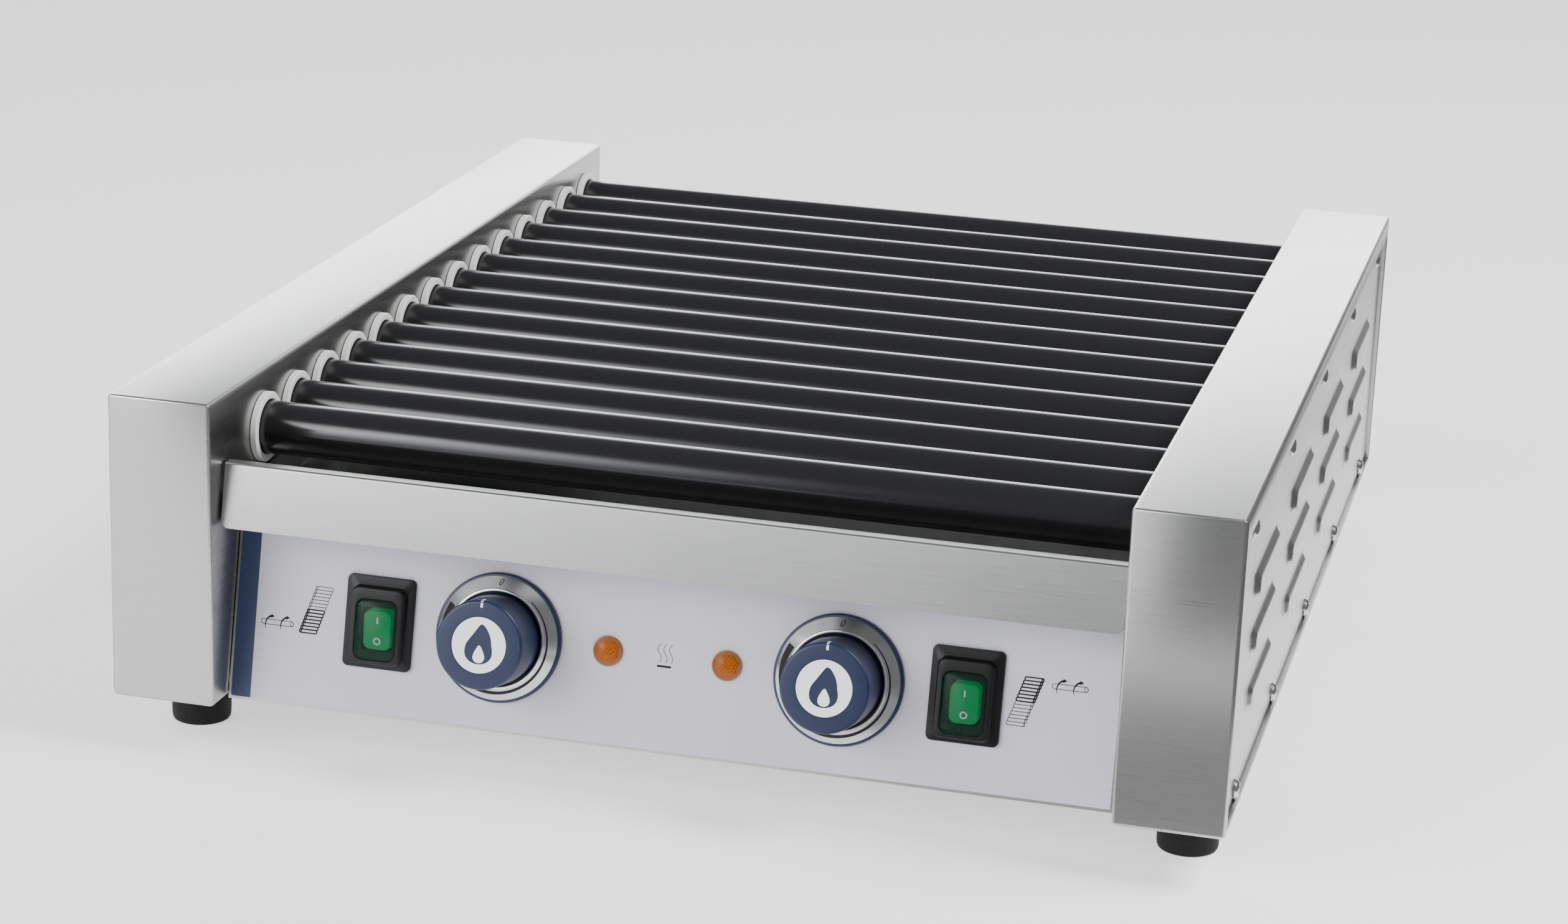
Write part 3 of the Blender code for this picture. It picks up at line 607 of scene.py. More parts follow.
def makeHood():
    # a pressed hood with rounded ends and a sloping top, open along its lower edge
    half, tall = coverSizes["length"] / 2, coverSizes["tall"]
    across, up = 56, 14  # faces along and up the hood

    def ease(value):
        value = min(max(value, 0.0), 1.0)
        return value * value * (3 - 2 * value)

    shape = bmesh.new()
    rims = []
    for skin in (0.0, coverSizes["skin"]):
        rows = []
        for j in range(up + 1):
            y = -tall / 2 + tall * j / up
            row = []
            for i in range(across + 1):
                share = 2 * i / across - 1
                x = half * (1.6 * share - 0.6 * share ** 3)  # columns stand closer near the ends
                low = max(0.0, 1 - (y + tall / 2) / coverSizes["footRound"])
                ends = ease((half - abs(x) - coverSizes["footIn"] * low * low) / coverSizes["endRun"])
                lift = ends * ease((tall / 2 - y) / coverSizes["topRun"])
                row.append(shape.verts.new((x, y, 0.03 + coverSizes["proud"] * lift - skin)))
            rows.append(row)
        for j in range(up):
            for i in range(across):
                shape.faces.new((rows[j][i], rows[j][i + 1], rows[j + 1][i + 1], rows[j + 1][i]))
        rims.append(rows[0] + [row[-1] for row in rows[1:]] + rows[-1][-2::-1]
                    + [row[0] for row in rows[-2:0:-1]])
    for i in range(len(rims[0])):
        j = (i + 1) % len(rims[0])
        shape.faces.new((rims[0][i], rims[0][j], rims[1][j], rims[1][i]))
    return facesOut(shape)


def makeScrew():
    # a pan head on its washer face, with a cross recess
    radius, tall = screwSizes["headRadius"], screwSizes["headTall"]
    head = [(0, 1), (0.4, 0.98), (0.68, 0.86), (0.86, 0.6), (0.93, 0.32), (1, 0.26)]
    head = lathe([(radius * x, tall * z) for x, z in head] + [(radius, 0.02), (0, 0.02)], 28)
    for turn in (0, math.pi / 2):
        slot = panelRect(0.55 * radius, 0.13 * radius, 0.1, steps=1)
        slot = prism(slot, tall - screwSizes["recess"], tall + 1)
        head = cutBy(head, moved(slot, Matrix.Rotation(turn + 0.5, 4, "Z")))
    return head


def makeCover(side):
    name = "cover_" + side
    low, high = boxOf(name)
    shellLow, shellHigh = boxOf("housing_" + side)
    sign = 1 if side == "right" else -1
    face = (shellHigh.x if sign > 0 else shellLow.x) - sign * coverSizes["recess"]
    middle = Vector((face, (low.y + high.y) / 2, (low.z + high.z) / 2))
    turn = Matrix(((0, 0, sign, 0), (sign, 0, 0, 0), (0, 1, 0, 0), (0, 0, 0, 1)))
    place = Matrix.Translation(middle) @ turn
    halfLong, halfTall = (high.y - low.y) / 2, (high.z - low.z) / 2
    columns, rows, pitch = [coverSizes[key] for key in ("columns", "rows", "rowPitch")]
    first = coverSizes["endMargin"] - halfLong
    step = -2 * first / (columns - 1)
    halfSlot, halfUp = coverSizes["length"] / 2 - 0.4, coverSizes["tall"] / 2 - 0.4
    outlines = [panelRect(halfLong, halfTall, coverSizes["corner"])]
    for column in range(columns):
        for row in range(rows):
            spot = (first + column * step, (row - 1) * pitch)
            outlines.append(panelRect(halfSlot, halfUp, 0.5, spot, 2))
    plate = cutSheet(outlines, -coverSizes["sheet"], 0)
    hoods = field(makeHood(), steelSides, (first, -pitch, 0), columns, (step, 0, 0), rows, (0, pitch, 0))
    makePiece(name + "_plate", [(plate, steelSides), (hoods, steelSides)], "body",
              [name], place)
    drop = halfTall - screwSizes["rowDrop"]
    screws = field(makeScrew(), screwSteel, (-2 * screwSizes["pitch"], -drop, 0), screwSizes["columns"],
                   (screwSizes["pitch"], 0, 0), 2, (0, 2 * drop, 0))
    makePiece(name + "_screws", [(screws, screwSteel)], "body", (), place, 40)


for side in ("left", "right"):
    makeCover(side)
print("covers and screws made")

# rollers, bushings and the right-hand bearing bar

rollerSizes = {"wall": 1.5, "edge": 0.45, "teeth": 14, "toothDeep": 1.6, "toothWide": 2.4,
               "toothProud": 1.5, "discNear": 17.0, "discThick": 3.0, "bore": 12.9, "count": 14}
bushSizes = {"edge": 0.5, "thick": 3.0, "sleeve": 14.5, "deep": 8.0, "collarDeep": 0.9, "clear": 0.3,
             "railRound": 1.5, "railNear": -1.3}

firstBush = boxOf("bushing_left_01")
flange = (firstBush[1].z - firstBush[0].z) / 2
axisZ = (firstBush[1].z + firstBush[0].z) / 2
innerWall = boxOf("housing_right")[0].x
numbers = range(1, rollerSizes["count"] + 1)


def makeRoller(number):
    # one tube with its sprocket; gives back where its axis stands along Y
    name = f"roller_{number:02d}"
    low, high = boxOf(name)
    middleX, y = (low.x + high.x) / 2, (low.y + high.y) / 2
    tip = (high.y - low.y) / 2
    radius = tip - rollerSizes["toothProud"]
    wall, thick, deep = [rollerSizes[key] for key in ("wall", "discThick", "toothDeep")]
    discX = innerWall + rollerSizes["discNear"] + thick / 2
    bore, root = radius - 0.3, tip - deep
    shape = grow(rollerTree, {
        "Tube radius": radius - wall / 2, "Tube wall": wall, "Length": high.x - low.x,
        "Edge": rollerSizes["edge"], "Middle": (middleX, y, axisZ), "Disc radius": (bore + root) / 2,
        "Disc width": root - bore, "Disc thickness": thick, "Disc place": (discX, y, axisZ),
        "Teeth": rollerSizes["teeth"], "Tooth circle": tip - deep / 2,
        "Tooth size": (deep, rollerSizes["toothWide"], thick - 0.2), "Finish": rollerCoat})
    makePiece(name + "_tube", [(facesOut(shape), rollerCoat)], name, [name], sharp=40)
    return y


def makeBush(sleeveDeep):
    # flanged bush about Z, the flange's back at height 0 and its face upwards
    bore = rollerSizes["bore"]
    thick, soft, sleeve = [bushSizes[key] for key in ("thick", "edge", "sleeve")]
    outline = [(bore, thick - soft), (bore + soft, thick), (flange - soft, thick), (flange, thick - soft),
               (flange, 0.0), (sleeve, 0.0), (sleeve, -sleeveDeep), (bore, -sleeveDeep)]
    outline = rounded(outline, [0, 0.4, 0.4, 0, 0, 0, 0, 0], 2)
    return lathe(outline + outline[:1], 56)


def makeBushings(first, step):
    place = Matrix(((0, 0, 1, bushSizes["clear"] - innerWall), (1, 0, 0, 0), (0, 1, 0, 0), (0, 0, 0, 1)))
    bushes = field(makeBush(bushSizes["deep"]), bushWhite, (first, axisZ, 0), len(numbers), (step, 0, 0))
    makePiece("bushings_left", [(bushes, bushWhite)], "body",
              [f"bushing_left_{number:02d}" for number in numbers], place, 40)


def makeBearings(first, step):
    # collars on the wall's inner face and one long bar behind it, laid out along -Y
    place = Matrix(((0, 0, -1, innerWall), (-1, 0, 0, 0), (0, 1, 0, 0), (0, 0, 0, 1)))
    collars = field(makeBush(bushSizes["collarDeep"]), bushWhite, (-first, axisZ, 0), len(numbers),
                    (-step, 0, 0))
    low, high = boxOf("bearing_rail_right")
    reach = (high.z - low.z) / 2
    near, far = reach - rollerY[0], -reach - rollerY[-1]
    bar = [rounded([(near, low.z), (near, high.z), (far, high.z), (far, low.z)], bushSizes["railRound"])]
    bar += [circle(rollerSizes["bore"], (-y, axisZ)) for y in rollerY]
    rail = cutSheet(bar, innerWall - high.x, bushSizes["railNear"])
    makePiece("bearings_right", [(collars, bushWhite), (rail, bushWhite)], "body",
              ["bearing_rail_right"], place, 40)


rollerY = [makeRoller(number) for number in numbers]
pitchY = (rollerY[-1] - rollerY[0]) / (len(numbers) - 1)
makeBushings(rollerY[0], pitchY)
makeBearings(rollerY[0], pitchY)
print("rollers and bushings made")

# drip tray

traySizes = {"sheet": 1.0, "hem": 6.0, "hemRadius": 1.25, "rise": 30.0, "corner": 3.6,
             "wall": 14.0, "bottom": 2.4}
trayLow, trayHigh = boxOf("drip_tray")


def makeTray():
    sheet, rise = traySizes["sheet"], traySizes["rise"]
    front, base, half = trayLow.y, trayLow.z, trayHigh.x
    topY, topZ = front + rise * math.sin(slope), base + rise * math.cos(slope)
    path = [(topY + traySizes["hem"], topZ - 0.02), (topY, topZ), (front, base)]
    fascia = foldedSheet(path, traySizes["hemRadius"], sheet, -half, half)
    # the lower corners are rounded off by a trimming tool on each side
    corner = traySizes["corner"]
    turns = [math.pi / 2 * k / 8 for k in range(9)]
    arc = [(half - corner + corner * math.sin(turn), corner - corner * math.cos(turn)) for turn in turns]
    for sign in (-1, 1):
        outline = [(half - corner, -2)] + arc + [(half + 2, corner), (half + 2, -2)]
        outline = [(sign * x, up) for x, up in outline]
        tool = prism(outline, -4, 4)
        tilt = Matrix.Translation((0, front, base)) @ Matrix.Rotation(math.pi / 2 - slope, 4, "X")
        fascia = cutBy(fascia, moved(tool, tilt))
    rear, wall = trayHigh.y, traySizes["wall"]
    near = front + sheet / math.cos(slope) + 0.05
    tub = bmesh.new()
    corners = {}
    for x in (-half + 0.05, half - 0.05):
        for y in (near, rear):
            for z in (base + 0.02, base + wall):
                ahead = (z - base) * math.tan(slope) if y == near else 0.0
                corners[x > 0, y == rear, z > base + 1] = tub.verts.new((x, y + ahead, z))
    around = [(False, False), (True, False), (True, True), (False, True)]
    tub.faces.new([corners[(*spot, False)] for spot in reversed(around)])
    for here, there in zip(around, around[1:] + around[:1]):
        tub.faces.new([corners[key] for key in
                       ((*here, False), (*there, False), (*there, True), (*here, True))])
    bmesh.ops.recalc_face_normals(tub, faces=tub.faces)
    lower = [edge for edge in tub.edges if not all(vert.co.z > base + 1 for vert in edge.verts)]
    bmesh.ops.bevel(tub, geom=lower, offset=traySizes["bottom"], offset_type="OFFSET", segments=5,
                    profile=0.5, affect="EDGES")
    holder = asObject(tub)
    wallSheet = holder.modifiers.new("sheet", "SOLIDIFY")
    wallSheet.thickness = sheet
    wallSheet.offset = -1
    wallSheet.use_even_offset = True
    tub = shapeOf(settled(holder))
    makePiece("drip_tray_sheet", [(fascia, steelAcross), (tub, steelAcross)], "drip_tray",
              ["drip_tray"], sharp=40)


makeTray()
print("drip tray made")

# control panel, base pan, feet and cable gland

panelLow, panelHigh = boxOf("control_panel")
panelPlace = Matrix.Translation((0, panelLow.y, panelLow.z)) @ Matrix.Rotation(math.pi / 2 - slope, 4, "X")


def softenBends(node, name, width, finish):
    # rounds the long bends of a folded sheet and leaves its cut edges sharp
    shape = cadShape(node)

    def isLong(a, b):
        return abs(a.x - b.x) > 200 and max(abs(a.y - b.y), abs(a.z - b.z)) < 0.05

    bendEnds = set()
    for edge in shape.edges:
        a, b = [vert.co for vert in edge.verts]
        if isLong(a, b) and len(edge.link_faces) == 2 and 0.2 < edge.calc_face_angle(0) < 1.75:
            if min(face.calc_area() for face in edge.link_faces) > 450:  # not the sheet's own cut edges
                bendEnds |= {a.to_tuple(2), b.to_tuple(2)}

    def widthOf(a, b):
        return width if isLong(a, b) and {a.to_tuple(2), b.to_tuple(2)} <= bendEnds else 0.0

    makePiece(name, [(softenEdges(shape, widthOf), finish)], "body", [node], sharp=38)


bendWidth = 0.9
softenBends("control_panel", "control_panel_sheet", bendWidth, steelAcross)
softenBends("base_pan", "base_pan_sheet", bendWidth, steelAcross)

footSizes = {"edge": 1.2, "taper": 1.0, "groove": 0.5, "washer": 7.5, "washerDeep": 3.0, "hole": 3.6,
             "holeDeep": 6.0}


def makeFoot(node):
    # a turned foot with a groove near its top and a washer seat and screw hole underneath
    low, high = boxOf(node)
    radius, tall, soft = (high.x - low.x) / 2, high.z, footSizes["edge"]
    tip, side = radius - footSizes["taper"], radius - 0.15
    outline = [(0, tall), (radius - 0.4, tall), (radius, tall - 0.5), (side, tall - 4.0),
               (side - footSizes["groove"], tall - 4.6), (side - 0.1, tall - 5.2), (tip + 0.2, soft + 1.2),
               (tip, soft), (tip - 0.4, 0.35), (tip - soft, 0.0), (footSizes["washer"], 0.0),
               (footSizes["washer"], footSizes["washerDeep"]), (footSizes["hole"], footSizes["washerDeep"]),
               (footSizes["hole"], footSizes["holeDeep"]), (0, footSizes["holeDeep"])]
    place = Matrix.Translation(((low.x + high.x) / 2, (low.y + high.y) / 2, 0))
    makePiece(node + "_rubber", [(lathe(outline, 56), footRubber)], "body", [node], place, 35)


for end in ("front", "rear"):
    for side in ("left", "right"):
        makeFoot(f"foot_{end}_{side}")

glandSizes = {"hexWide": 17.0, "hexTall": 4.5, "domeRadius": 7.6, "bore": 3.5, "shank": 6.6, "inside": 8.3,
              "lockNear": -1.35, "lockFar": -5.3}
glandLow, glandHigh = boxOf("cable_gland")
wallY = boxOf("base_pan")[1].y


def makeGland():
    # about Z, the rear wall at height 0: a hexagon with a round cap, a shank and a lock nut inside
    proud = glandHigh.y - wallY
    dome, bore, shank, tall = [glandSizes[key] for key in ("domeRadius", "bore", "shank", "hexTall")]
    hexagon = circle(glandSizes["hexWide"] / 2 / math.cos(math.pi / 6), steps=6)
    wide = rounded(hexagon, 0.8, 3)
    narrow = rounded([(0.985 * x, 0.985 * y) for x, y in hexagon], 0.8, 3)
    hole, sleeve = circle(bore, steps=24), circle(shank, steps=24)
    hexNut = stacked([(narrow, 0.35), (wide, 0.9), (wide, tall - 0.5), (narrow, tall), (hole, tall),
                      (hole, 0.35)], hollow=True)
    near, far = glandSizes["lockNear"], glandSizes["lockFar"]
    lockNut = stacked([(narrow, far), (narrow, near), (sleeve, near), (sleeve, far)], hollow=True)
    cap = [(bore, proud), (bore + 1.2, proud), (dome - 1.2, proud - 1.4), (dome, proud - 3.2), (dome, tall),
           (shank, tall), (shank, -glandSizes["inside"]), (bore, -glandSizes["inside"]), (bore, proud)]
    middle = (glandLow + glandHigh) / 2
    place = Matrix.Translation((middle.x, wallY, middle.z)) @ Matrix.Rotation(-math.pi / 2, 4, "X")
    makePiece("cable_gland_nut", [(hexNut, blackNylon), (lathe(cap, 48), blackNylon), (lockNut, blackNylon)],
              "body", ["cable_gland"], place, 30)


makeGland()
print("panel, pan, feet and gland made")

# printed label

labelSizes = {"left": 208.4, "right": 206.6, "bottom": 1.4, "top": 85.6, "stripe": 9.6, "thick": 0.2,
              "corner": 0.6, "stroke": 0.3, "bold": 0.62, "lampHole": 5.8, "knobHole": 5.0,
              "switchHole": (13.2, 18.2)}
controlUp = 44.0  # the controls' middles, up the panel
knobX, switchX, lampX = 80.0, 138.0, 28.0


def makeLabel():
    # grey film with holes for the controls and a navy stripe at its left end
    keys = ("left", "right", "bottom", "top", "stripe", "corner", "thick")
    left, right, bottom, top, wide, soft, thick = [labelSizes[key] for key in keys]
    seam = wide - left
    film = [rounded([(seam, bottom), (right, bottom), (right, top), (seam, top)], [0, soft, soft, 0], 3)]
    for sign in (-1, 1):
        film.append(circle(labelSizes["lampHole"], (sign * lampX, controlUp)))
        film.append(circle(labelSizes["knobHole"], (sign * knobX, controlUp)))
        film.append(panelRect(*labelSizes["switchHole"], 1, (sign * switchX, controlUp)))
    stripe = rounded([(-left, bottom), (seam, bottom), (seam, top), (-left, top)], [soft, 0, 0, soft], 3)
    parts = [(cutSheet(film, 0.03, thick), labelFilm), (prism(stripe, 0.03, thick), labelNavy)]
    makePiece("panel_label", parts, "body", (), panelPlace)


makeLabel()

symbolSizes = {"bar": 8.5, "barStep": (0.508, 1.585), "barTall": 1.6, "rod": 16.0, "rodTall": 2.3}
inkLow, inkHigh = labelSizes["thick"], labelSizes["thick"] + 0.03


def outlineStroke(outline, width):
    # the edge of a closed outline drawn as a line of even width
    def offset(amount):
        made = []
        for i, spot in enumerate(outline):
            ahead = Vector(outline[(i + 1) % len(outline)]) - Vector(outline[i - 1])
            across = Vector((-ahead.y, ahead.x)).normalized() * amount
            made.append((spot[0] + across.x, spot[1] + across.y))
        return made
    outer, inner = offset(-width / 2), offset(width / 2)
    return stacked([(outer, inkLow), (outer, inkHigh), (inner, inkHigh), (inner, inkLow)], hollow=True)


def ellipse(halfX, halfY, middle, steps=20):
    return [(middle[0] + x * halfX, middle[1] + y * halfY) for x, y in circle(1, steps=steps)]


def barSymbol(middle, endSide, boldRows):
    # fourteen rollers drawn as a stack, one zone in bold
    long, tall, step = symbolSizes["bar"], symbolSizes["barTall"], symbolSizes["barStep"]
    plainRows = (7, 14) if boldRows[0] == 0 else (0, 7)
    shapes = []
    for rows, width in ((boldRows, labelSizes["bold"]), (plainRows, labelSizes["stroke"])):
        bar = joined(outlineStroke(panelRect(long / 2, tall / 2, 0.7, steps=4), width),
                     outlineStroke(ellipse(0.42, tall / 2, (endSide * (long / 2 - 0.45), 0)), width))
        first = (middle[0] + (rows[0] - 6.5) * step[0], middle[1] + (rows[0] - 6.5) * step[1], 0)
        shapes.append(field(bar, ink, first, rows[1] - rows[0], (*step, 0)))
    return joined(*shapes)


def rodSymbol(middle):
    # one roller with two arrows over it that show how it turns
    half, tall = symbolSizes["rod"] / 2, symbolSizes["rodTall"]
    x, y = middle
    shapes = [outlineStroke(panelRect(half, tall / 2, 1.1, middle), labelSizes["stroke"]),
              outlineStroke(ellipse(0.75, tall / 2, (x + half - 0.8, y)), labelSizes["stroke"])]
    for shift in (-half * 0.62, half * 0.32):
        path, widths = [], []
        for k in range(13):
            angle = math.radians(205 - 105 * k / 12)
            path.append((x + shift + 2.6 + 3.6 * math.cos(angle), y - 1.3 + 4.2 * math.sin(angle)))
            widths.append(0.25 + 0.75 * k / 12)
        shapes.append(ribbon(path, widths, inkLow, inkHigh))
        tipX, tipY = path[-1]
        head = [(tipX - 0.5, tipY - 1.0), (tipX + 1.5, tipY - 0.1), (tipX - 0.2, tipY + 0.9)]
        shapes.append(prism(head, inkLow, inkHigh))
    return joined(*shapes)


def heatSymbol(middle):
    # a hot plate with three waves rising from it
    x, y = middle
    plate = [(x + i * 3.3, y + j) for i, j in ((-1, -6.0), (1, -6.0), (1, -5.0), (-1, -5.0))]
    shapes = [prism(plate, inkLow, inkHigh)]
    for shift in (-2.5, 0.2, 2.9):
        shares = [k / 24 for k in range(25)]
        path = [(x + shift + 0.95 * math.sin(2 * math.pi * share + 0.35), y - 3.7 + 8.6 * share)
                for share in shares]
        shapes.append(ribbon(path, 0.28, inkLow, inkHigh))
    return joined(*shapes)


symbols = [barSymbol((-169.4, 46.0), -1, (0, 7)), barSymbol((164.5, 44.5), 1, (7, 14)),
           rodSymbol((-188.0, 38.0)), rodSymbol((184.0, 53.0)), heatSymbol((-1.3, 45.5))]
makePiece("panel_symbols", [(joined(*symbols), ink)], "body", (), panelPlace)
print("label printed")

# knobs and dials

dialSizes = {"radius": 30.0, "rim": 2.2, "coneOuter": 28.6, "coneInner": 23.4, "lipTop": 7.2, "lip": 21.8,
             "floor": 2.0, "mark": 24.2, "bore": 5.4}
knobSizes = {"radius": 20.8, "faceRadius": 20.4, "top": 30.0, "base": 3.5, "edge": 1.3, "inlay": 12.8,
             "spindle": 3.0, "spindleLong": 22.0}


def textShape(words, size, low, high, middle=(0, 0), tilt=0.0):
    curve = bpy.data.curves.new("text", "FONT")
    curve.body = words
    curve.size = size
    curve.shear = tilt
    curve.align_x, curve.align_y = "CENTER", "CENTER"
    curve.extrude = (high - low) / 2
    shape = shapeOf(settled(bpy.data.objects.new("text", curve)))
    bmesh.ops.translate(shape, verts=shape.verts, vec=(*middle, (high + low) / 2))
    return facesOut(shape)


def coneHeight(radius):
    # height of the dial's sloping face at a radius
    outer, inner = dialSizes["coneOuter"], dialSizes["coneInner"]
    low, high = dialSizes["rim"] + 1.0, dialSizes["lipTop"] - 0.8
    return low + (outer - radius) / (outer - inner) * (high - low)


def drape(shape, lift):
    # lays a flat mark on the dial's sloping face
    bmesh.ops.triangulate(shape, faces=shape.faces)
    for vert in shape.verts:
        vert.co.z += coneHeight(vert.co.xy.length) + lift
    return shape


def makeDial(side, x):
    keys = ("radius", "rim", "coneOuter", "coneInner", "lipTop", "lip", "floor", "mark", "bore")
    radius, rim, outer, inner, lipTop, lip, floorUp, mark, bore = [dialSizes[key] for key in keys]
    outerUp, innerUp = coneHeight(outer), coneHeight(inner)
    base = [(outer, outerUp), (radius - 0.6, outerUp - 0.1), (radius, rim), (radius, 0.3), (bore, 0.3),
            (bore, floorUp), (lip + 0.1, floorUp), (lip + 0.1, outerUp - 0.2), (outer - 0.1, outerUp - 0.2),
            (outer, outerUp)]
    silver = [(inner, innerUp), (outer, outerUp), (outer - 0.1, outerUp - 0.15), (inner, outerUp - 0.15),
              (inner, innerUp)]
    bezel = rounded([(inner, lipTop), (inner, outerUp - 0.15), (lip, outerUp - 0.15), (lip, lipTop)],
                    [0.7, 0, 0, 0.5], 5)
    arc, widths = [], []
    for share in [k / 60 for k in range(61)]:
        angle = math.radians(50 - 262 * share)  # clockwise from about two o'clock
        widths.append(0.35 + 2.9 * share ** 1.3)
        reach = mark + widths[-1] / 2
        arc.append((reach * math.cos(angle), reach * math.sin(angle)))
    crescent = ribbon(arc, widths, 0, 0.05)
    zero = textShape("0", 4.0, 0, 0.05, (0, 26.0), 0.35)
    parts = [(lathe(base, 96), navyAbs), (lathe(silver, 96), dialSilver),
             (lathe(bezel + bezel[:1], 96), chromeLip),
             (drape(crescent, 0.02), ink), (drape(zero, 0.02), ink)]
    place = panelPlace @ Matrix.Translation((x, controlUp, 0))
    makePiece("dial_" + side, parts, "body", ["dial_ring_" + side], place, 25)


def flame(size, low, high):
    # a plain flame: a drop with a curled tip and a smaller drop left open inside it
    outer, inner = [], []
    for turn in [2 * math.pi * k / 48 for k in range(48)]:
        up = math.cos(turn)
        wide = 0.62 * math.sin(turn) * (1 - 0.5 * up)
        outer.append((size * (wide + 0.12 * math.sin(2.2 * max(up, 0))), size * (0.95 * up + 0.05)))
        inner.append((size * (0.42 * wide + 0.03), size * (0.42 * up - 0.42)))
    return cutSheet([outer, inner], low, high)


def makePointer(face, top):
    # a white stroke that runs over the knob's top edge, from the face down the side
    soft = knobSizes["edge"]
    line = [(17.2, top + 0.05), (face - soft, top + 0.05), (face - 0.35, top - 0.28),
            (face + 0.02, top - 1.2), (face + 0.10, top - 4.2)]
    half, deep = 0.55, 0.12
    shape = bmesh.new()
    rows = []
    for radius, height in line:
        rows.append([shape.verts.new((across, radius - sink, height - sink)) for across, sink in
                     ((-half, 0), (half, 0), (half, deep), (-half, deep))])
    for here, there in zip(rows, rows[1:]):
        for i in range(4):
            j = (i + 1) % 4
            shape.faces.new((here[i], here[j], there[j], there[i]))
    shape.faces.new(rows[0])
    shape.faces.new(rows[-1])
    return facesOut(shape)


def makeKnob(side, x):
    keys = ("radius", "faceRadius", "top", "base", "edge", "inlay", "spindle", "spindleLong")
    radius, face, top, base, soft, inlay, spindle, long = [knobSizes[key] for key in keys]
    edge = rounded([(inlay + 0.35, top), (face, top), (radius, base)], [0, soft, 0], 6, closed=False)
    body = [(0, top - 0.25), (inlay + 0.25, top - 0.25), (inlay + 0.35, top)] + edge[1:-1]
    body += [(radius, base + 0.4), (radius - 0.3, base), (spindle, base), (spindle, -long), (0, -long)]
    disc = [(0, top + 0.02), (inlay - 0.15, top + 0.02), (inlay, top - 0.1), (inlay, top - 0.22),
            (0, top - 0.22)]
    parts = [(lathe(body, 96), navyAbs), (lathe(disc, 64), inkWhite),
             (flame(9.6, top + 0.01, top + 0.05), navyAbs), (makePointer(face, top), inkWhite)]
    place = panelPlace @ Matrix.Translation((x, controlUp, 0))
    name = "thermostat_knob_" + side
    makePiece("knob_" + side, parts, name, [name], place, 30)


for side, x in (("left", -knobX), ("right", knobX)):
    makeDial(side, x)
    makeKnob(side, x)
print("knobs and dials made")

# rocker switches: half width and half height of each part, then heights, drops and the tilt in degrees
switchSizes = {"plate": (16.5, 21.5), "hood": (12.6, 17.6), "window": (10.2, 14.2), "pocket": (7.6, 10.2),
               "slot": (1.6, 2.2), "insert": (13.0, 18.0), "key": (6.7, 9.3),
               "plateUp": 2.4, "hoodUp": 6.2, "windowUp": 7.6, "pocketDeep": -7.0, "deep": -22.0,
               "keyHalf": 3.5, "hoodDrop": 1.4, "keyDrop": 3.0, "tilt": 7.0}


def ring(part, inset, corner, height, drop=0.0):
    # one level ring of a switch part for stacked, smaller than the part by the inset
    halfX, halfY = switchSizes[part]
    return panelRect(halfX - inset, halfY - inset, corner, (0, -drop)), height


def makeSwitch(side, x):
    keys = ("plateUp", "hoodUp", "windowUp", "pocketDeep", "deep", "keyHalf", "hoodDrop", "keyDrop")
    plateUp, hoodUp, windowUp, pocketDeep, deep, half, hoodDrop, keyDrop = [switchSizes[key] for key in keys]
    place = panelPlace @ Matrix.Translation((x, controlUp, 0))
    rows = [("insert", 0, 1.0, 0.25), ("plate", 0, 2.6, 0.25), ("plate", 0, 2.6, plateUp - 0.7),
            ("plate", 0.25, 2.6, plateUp - 0.2), ("plate", 0.8, 2.6, plateUp),
            ("hood", -0.9, 3.4, plateUp + 0.15, hoodDrop), ("hood", -0.3, 3.4, plateUp + 0.8, hoodDrop),
            ("hood", 0, 3.4, hoodUp - 0.8, hoodDrop), ("hood", 0.3, 3.4, hoodUp - 0.2, hoodDrop),
            ("hood", 0.9, 3.4, hoodUp, hoodDrop), ("window", -0.1, 4.2, hoodUp, keyDrop),
            ("window", 0, 4.2, plateUp + 1.0, keyDrop), ("pocket", 0, 1.4, plateUp + 0.9, keyDrop),
            ("pocket", 0, 1.4, pocketDeep, keyDrop), ("slot", 0, 0.5, pocketDeep, keyDrop),
            ("slot", 0, 0.5, deep, keyDrop), ("insert", 0, 1.0, deep)]
    surround = stacked([ring(*row) for row in rows], hollow=True)
    makePiece("switch_frame_" + side, [(surround, blackNylon)], "body",
              ["switch_body_" + side], place, 40)

    place = place @ Matrix.Translation((0, -keyDrop, 0))
    rows = [("window", 0.6, 3.7, plateUp + 1.1), ("window", 0.1, 4.2, plateUp + 1.1),
            ("window", 0.1, 4.2, windowUp - 1.1), ("window", 0.4, 4.2, windowUp - 0.4),
            ("window", 1.2, 3.6, windowUp)]
    inside = [("window", 0.6, 3.7, plateUp - 1), ("window", 0.6, 3.7, windowUp - 1.4),
              ("window", 1.7, 3.0, windowUp - 0.6)]
    cover = cutBy(stacked([ring(*row) for row in rows]), stacked([ring(*row) for row in inside]))
    makePiece("splash_cover_" + side, [(cover, coverGreen)], "body", (), place, 40)

    soft = 0.35
    key = stacked([ring("key", soft, 3.2, -half), ring("key", 0, 3.4, -half + soft),
                   ring("key", 0, 3.4, half - soft), ring("key", soft, 3.2, half)])
    strokeI = ribbon([(0, 3.2), (0, 6.2)], 0.75, half, half + 0.05)
    outer, inner = circle(1.75, (0, -5.2), 32), circle(1.1, (0, -5.2), 32)
    strokeO = stacked([(outer, half), (outer, half + 0.05), (inner, half + 0.05), (inner, half)], hollow=True)
    place = place @ Matrix.Rotation(math.radians(switchSizes["tilt"]), 4, "X")
    # the key's finish carries a painted glow: a green emission in place of light shining through the cover
    makePiece("switch_key_" + side, [(key, keyGreenPaintedGlow), (strokeI, inkWhite), (strokeO, inkWhite)],
              "rocker_" + side, ["rocker_" + side], place, 40)


# indicator lamps

lampSizes = {"radius": 7.3, "proud": 6.0, "body": 5.4, "deep": 24.0, "prismPitch": 1.45, "prismTall": 1.5}


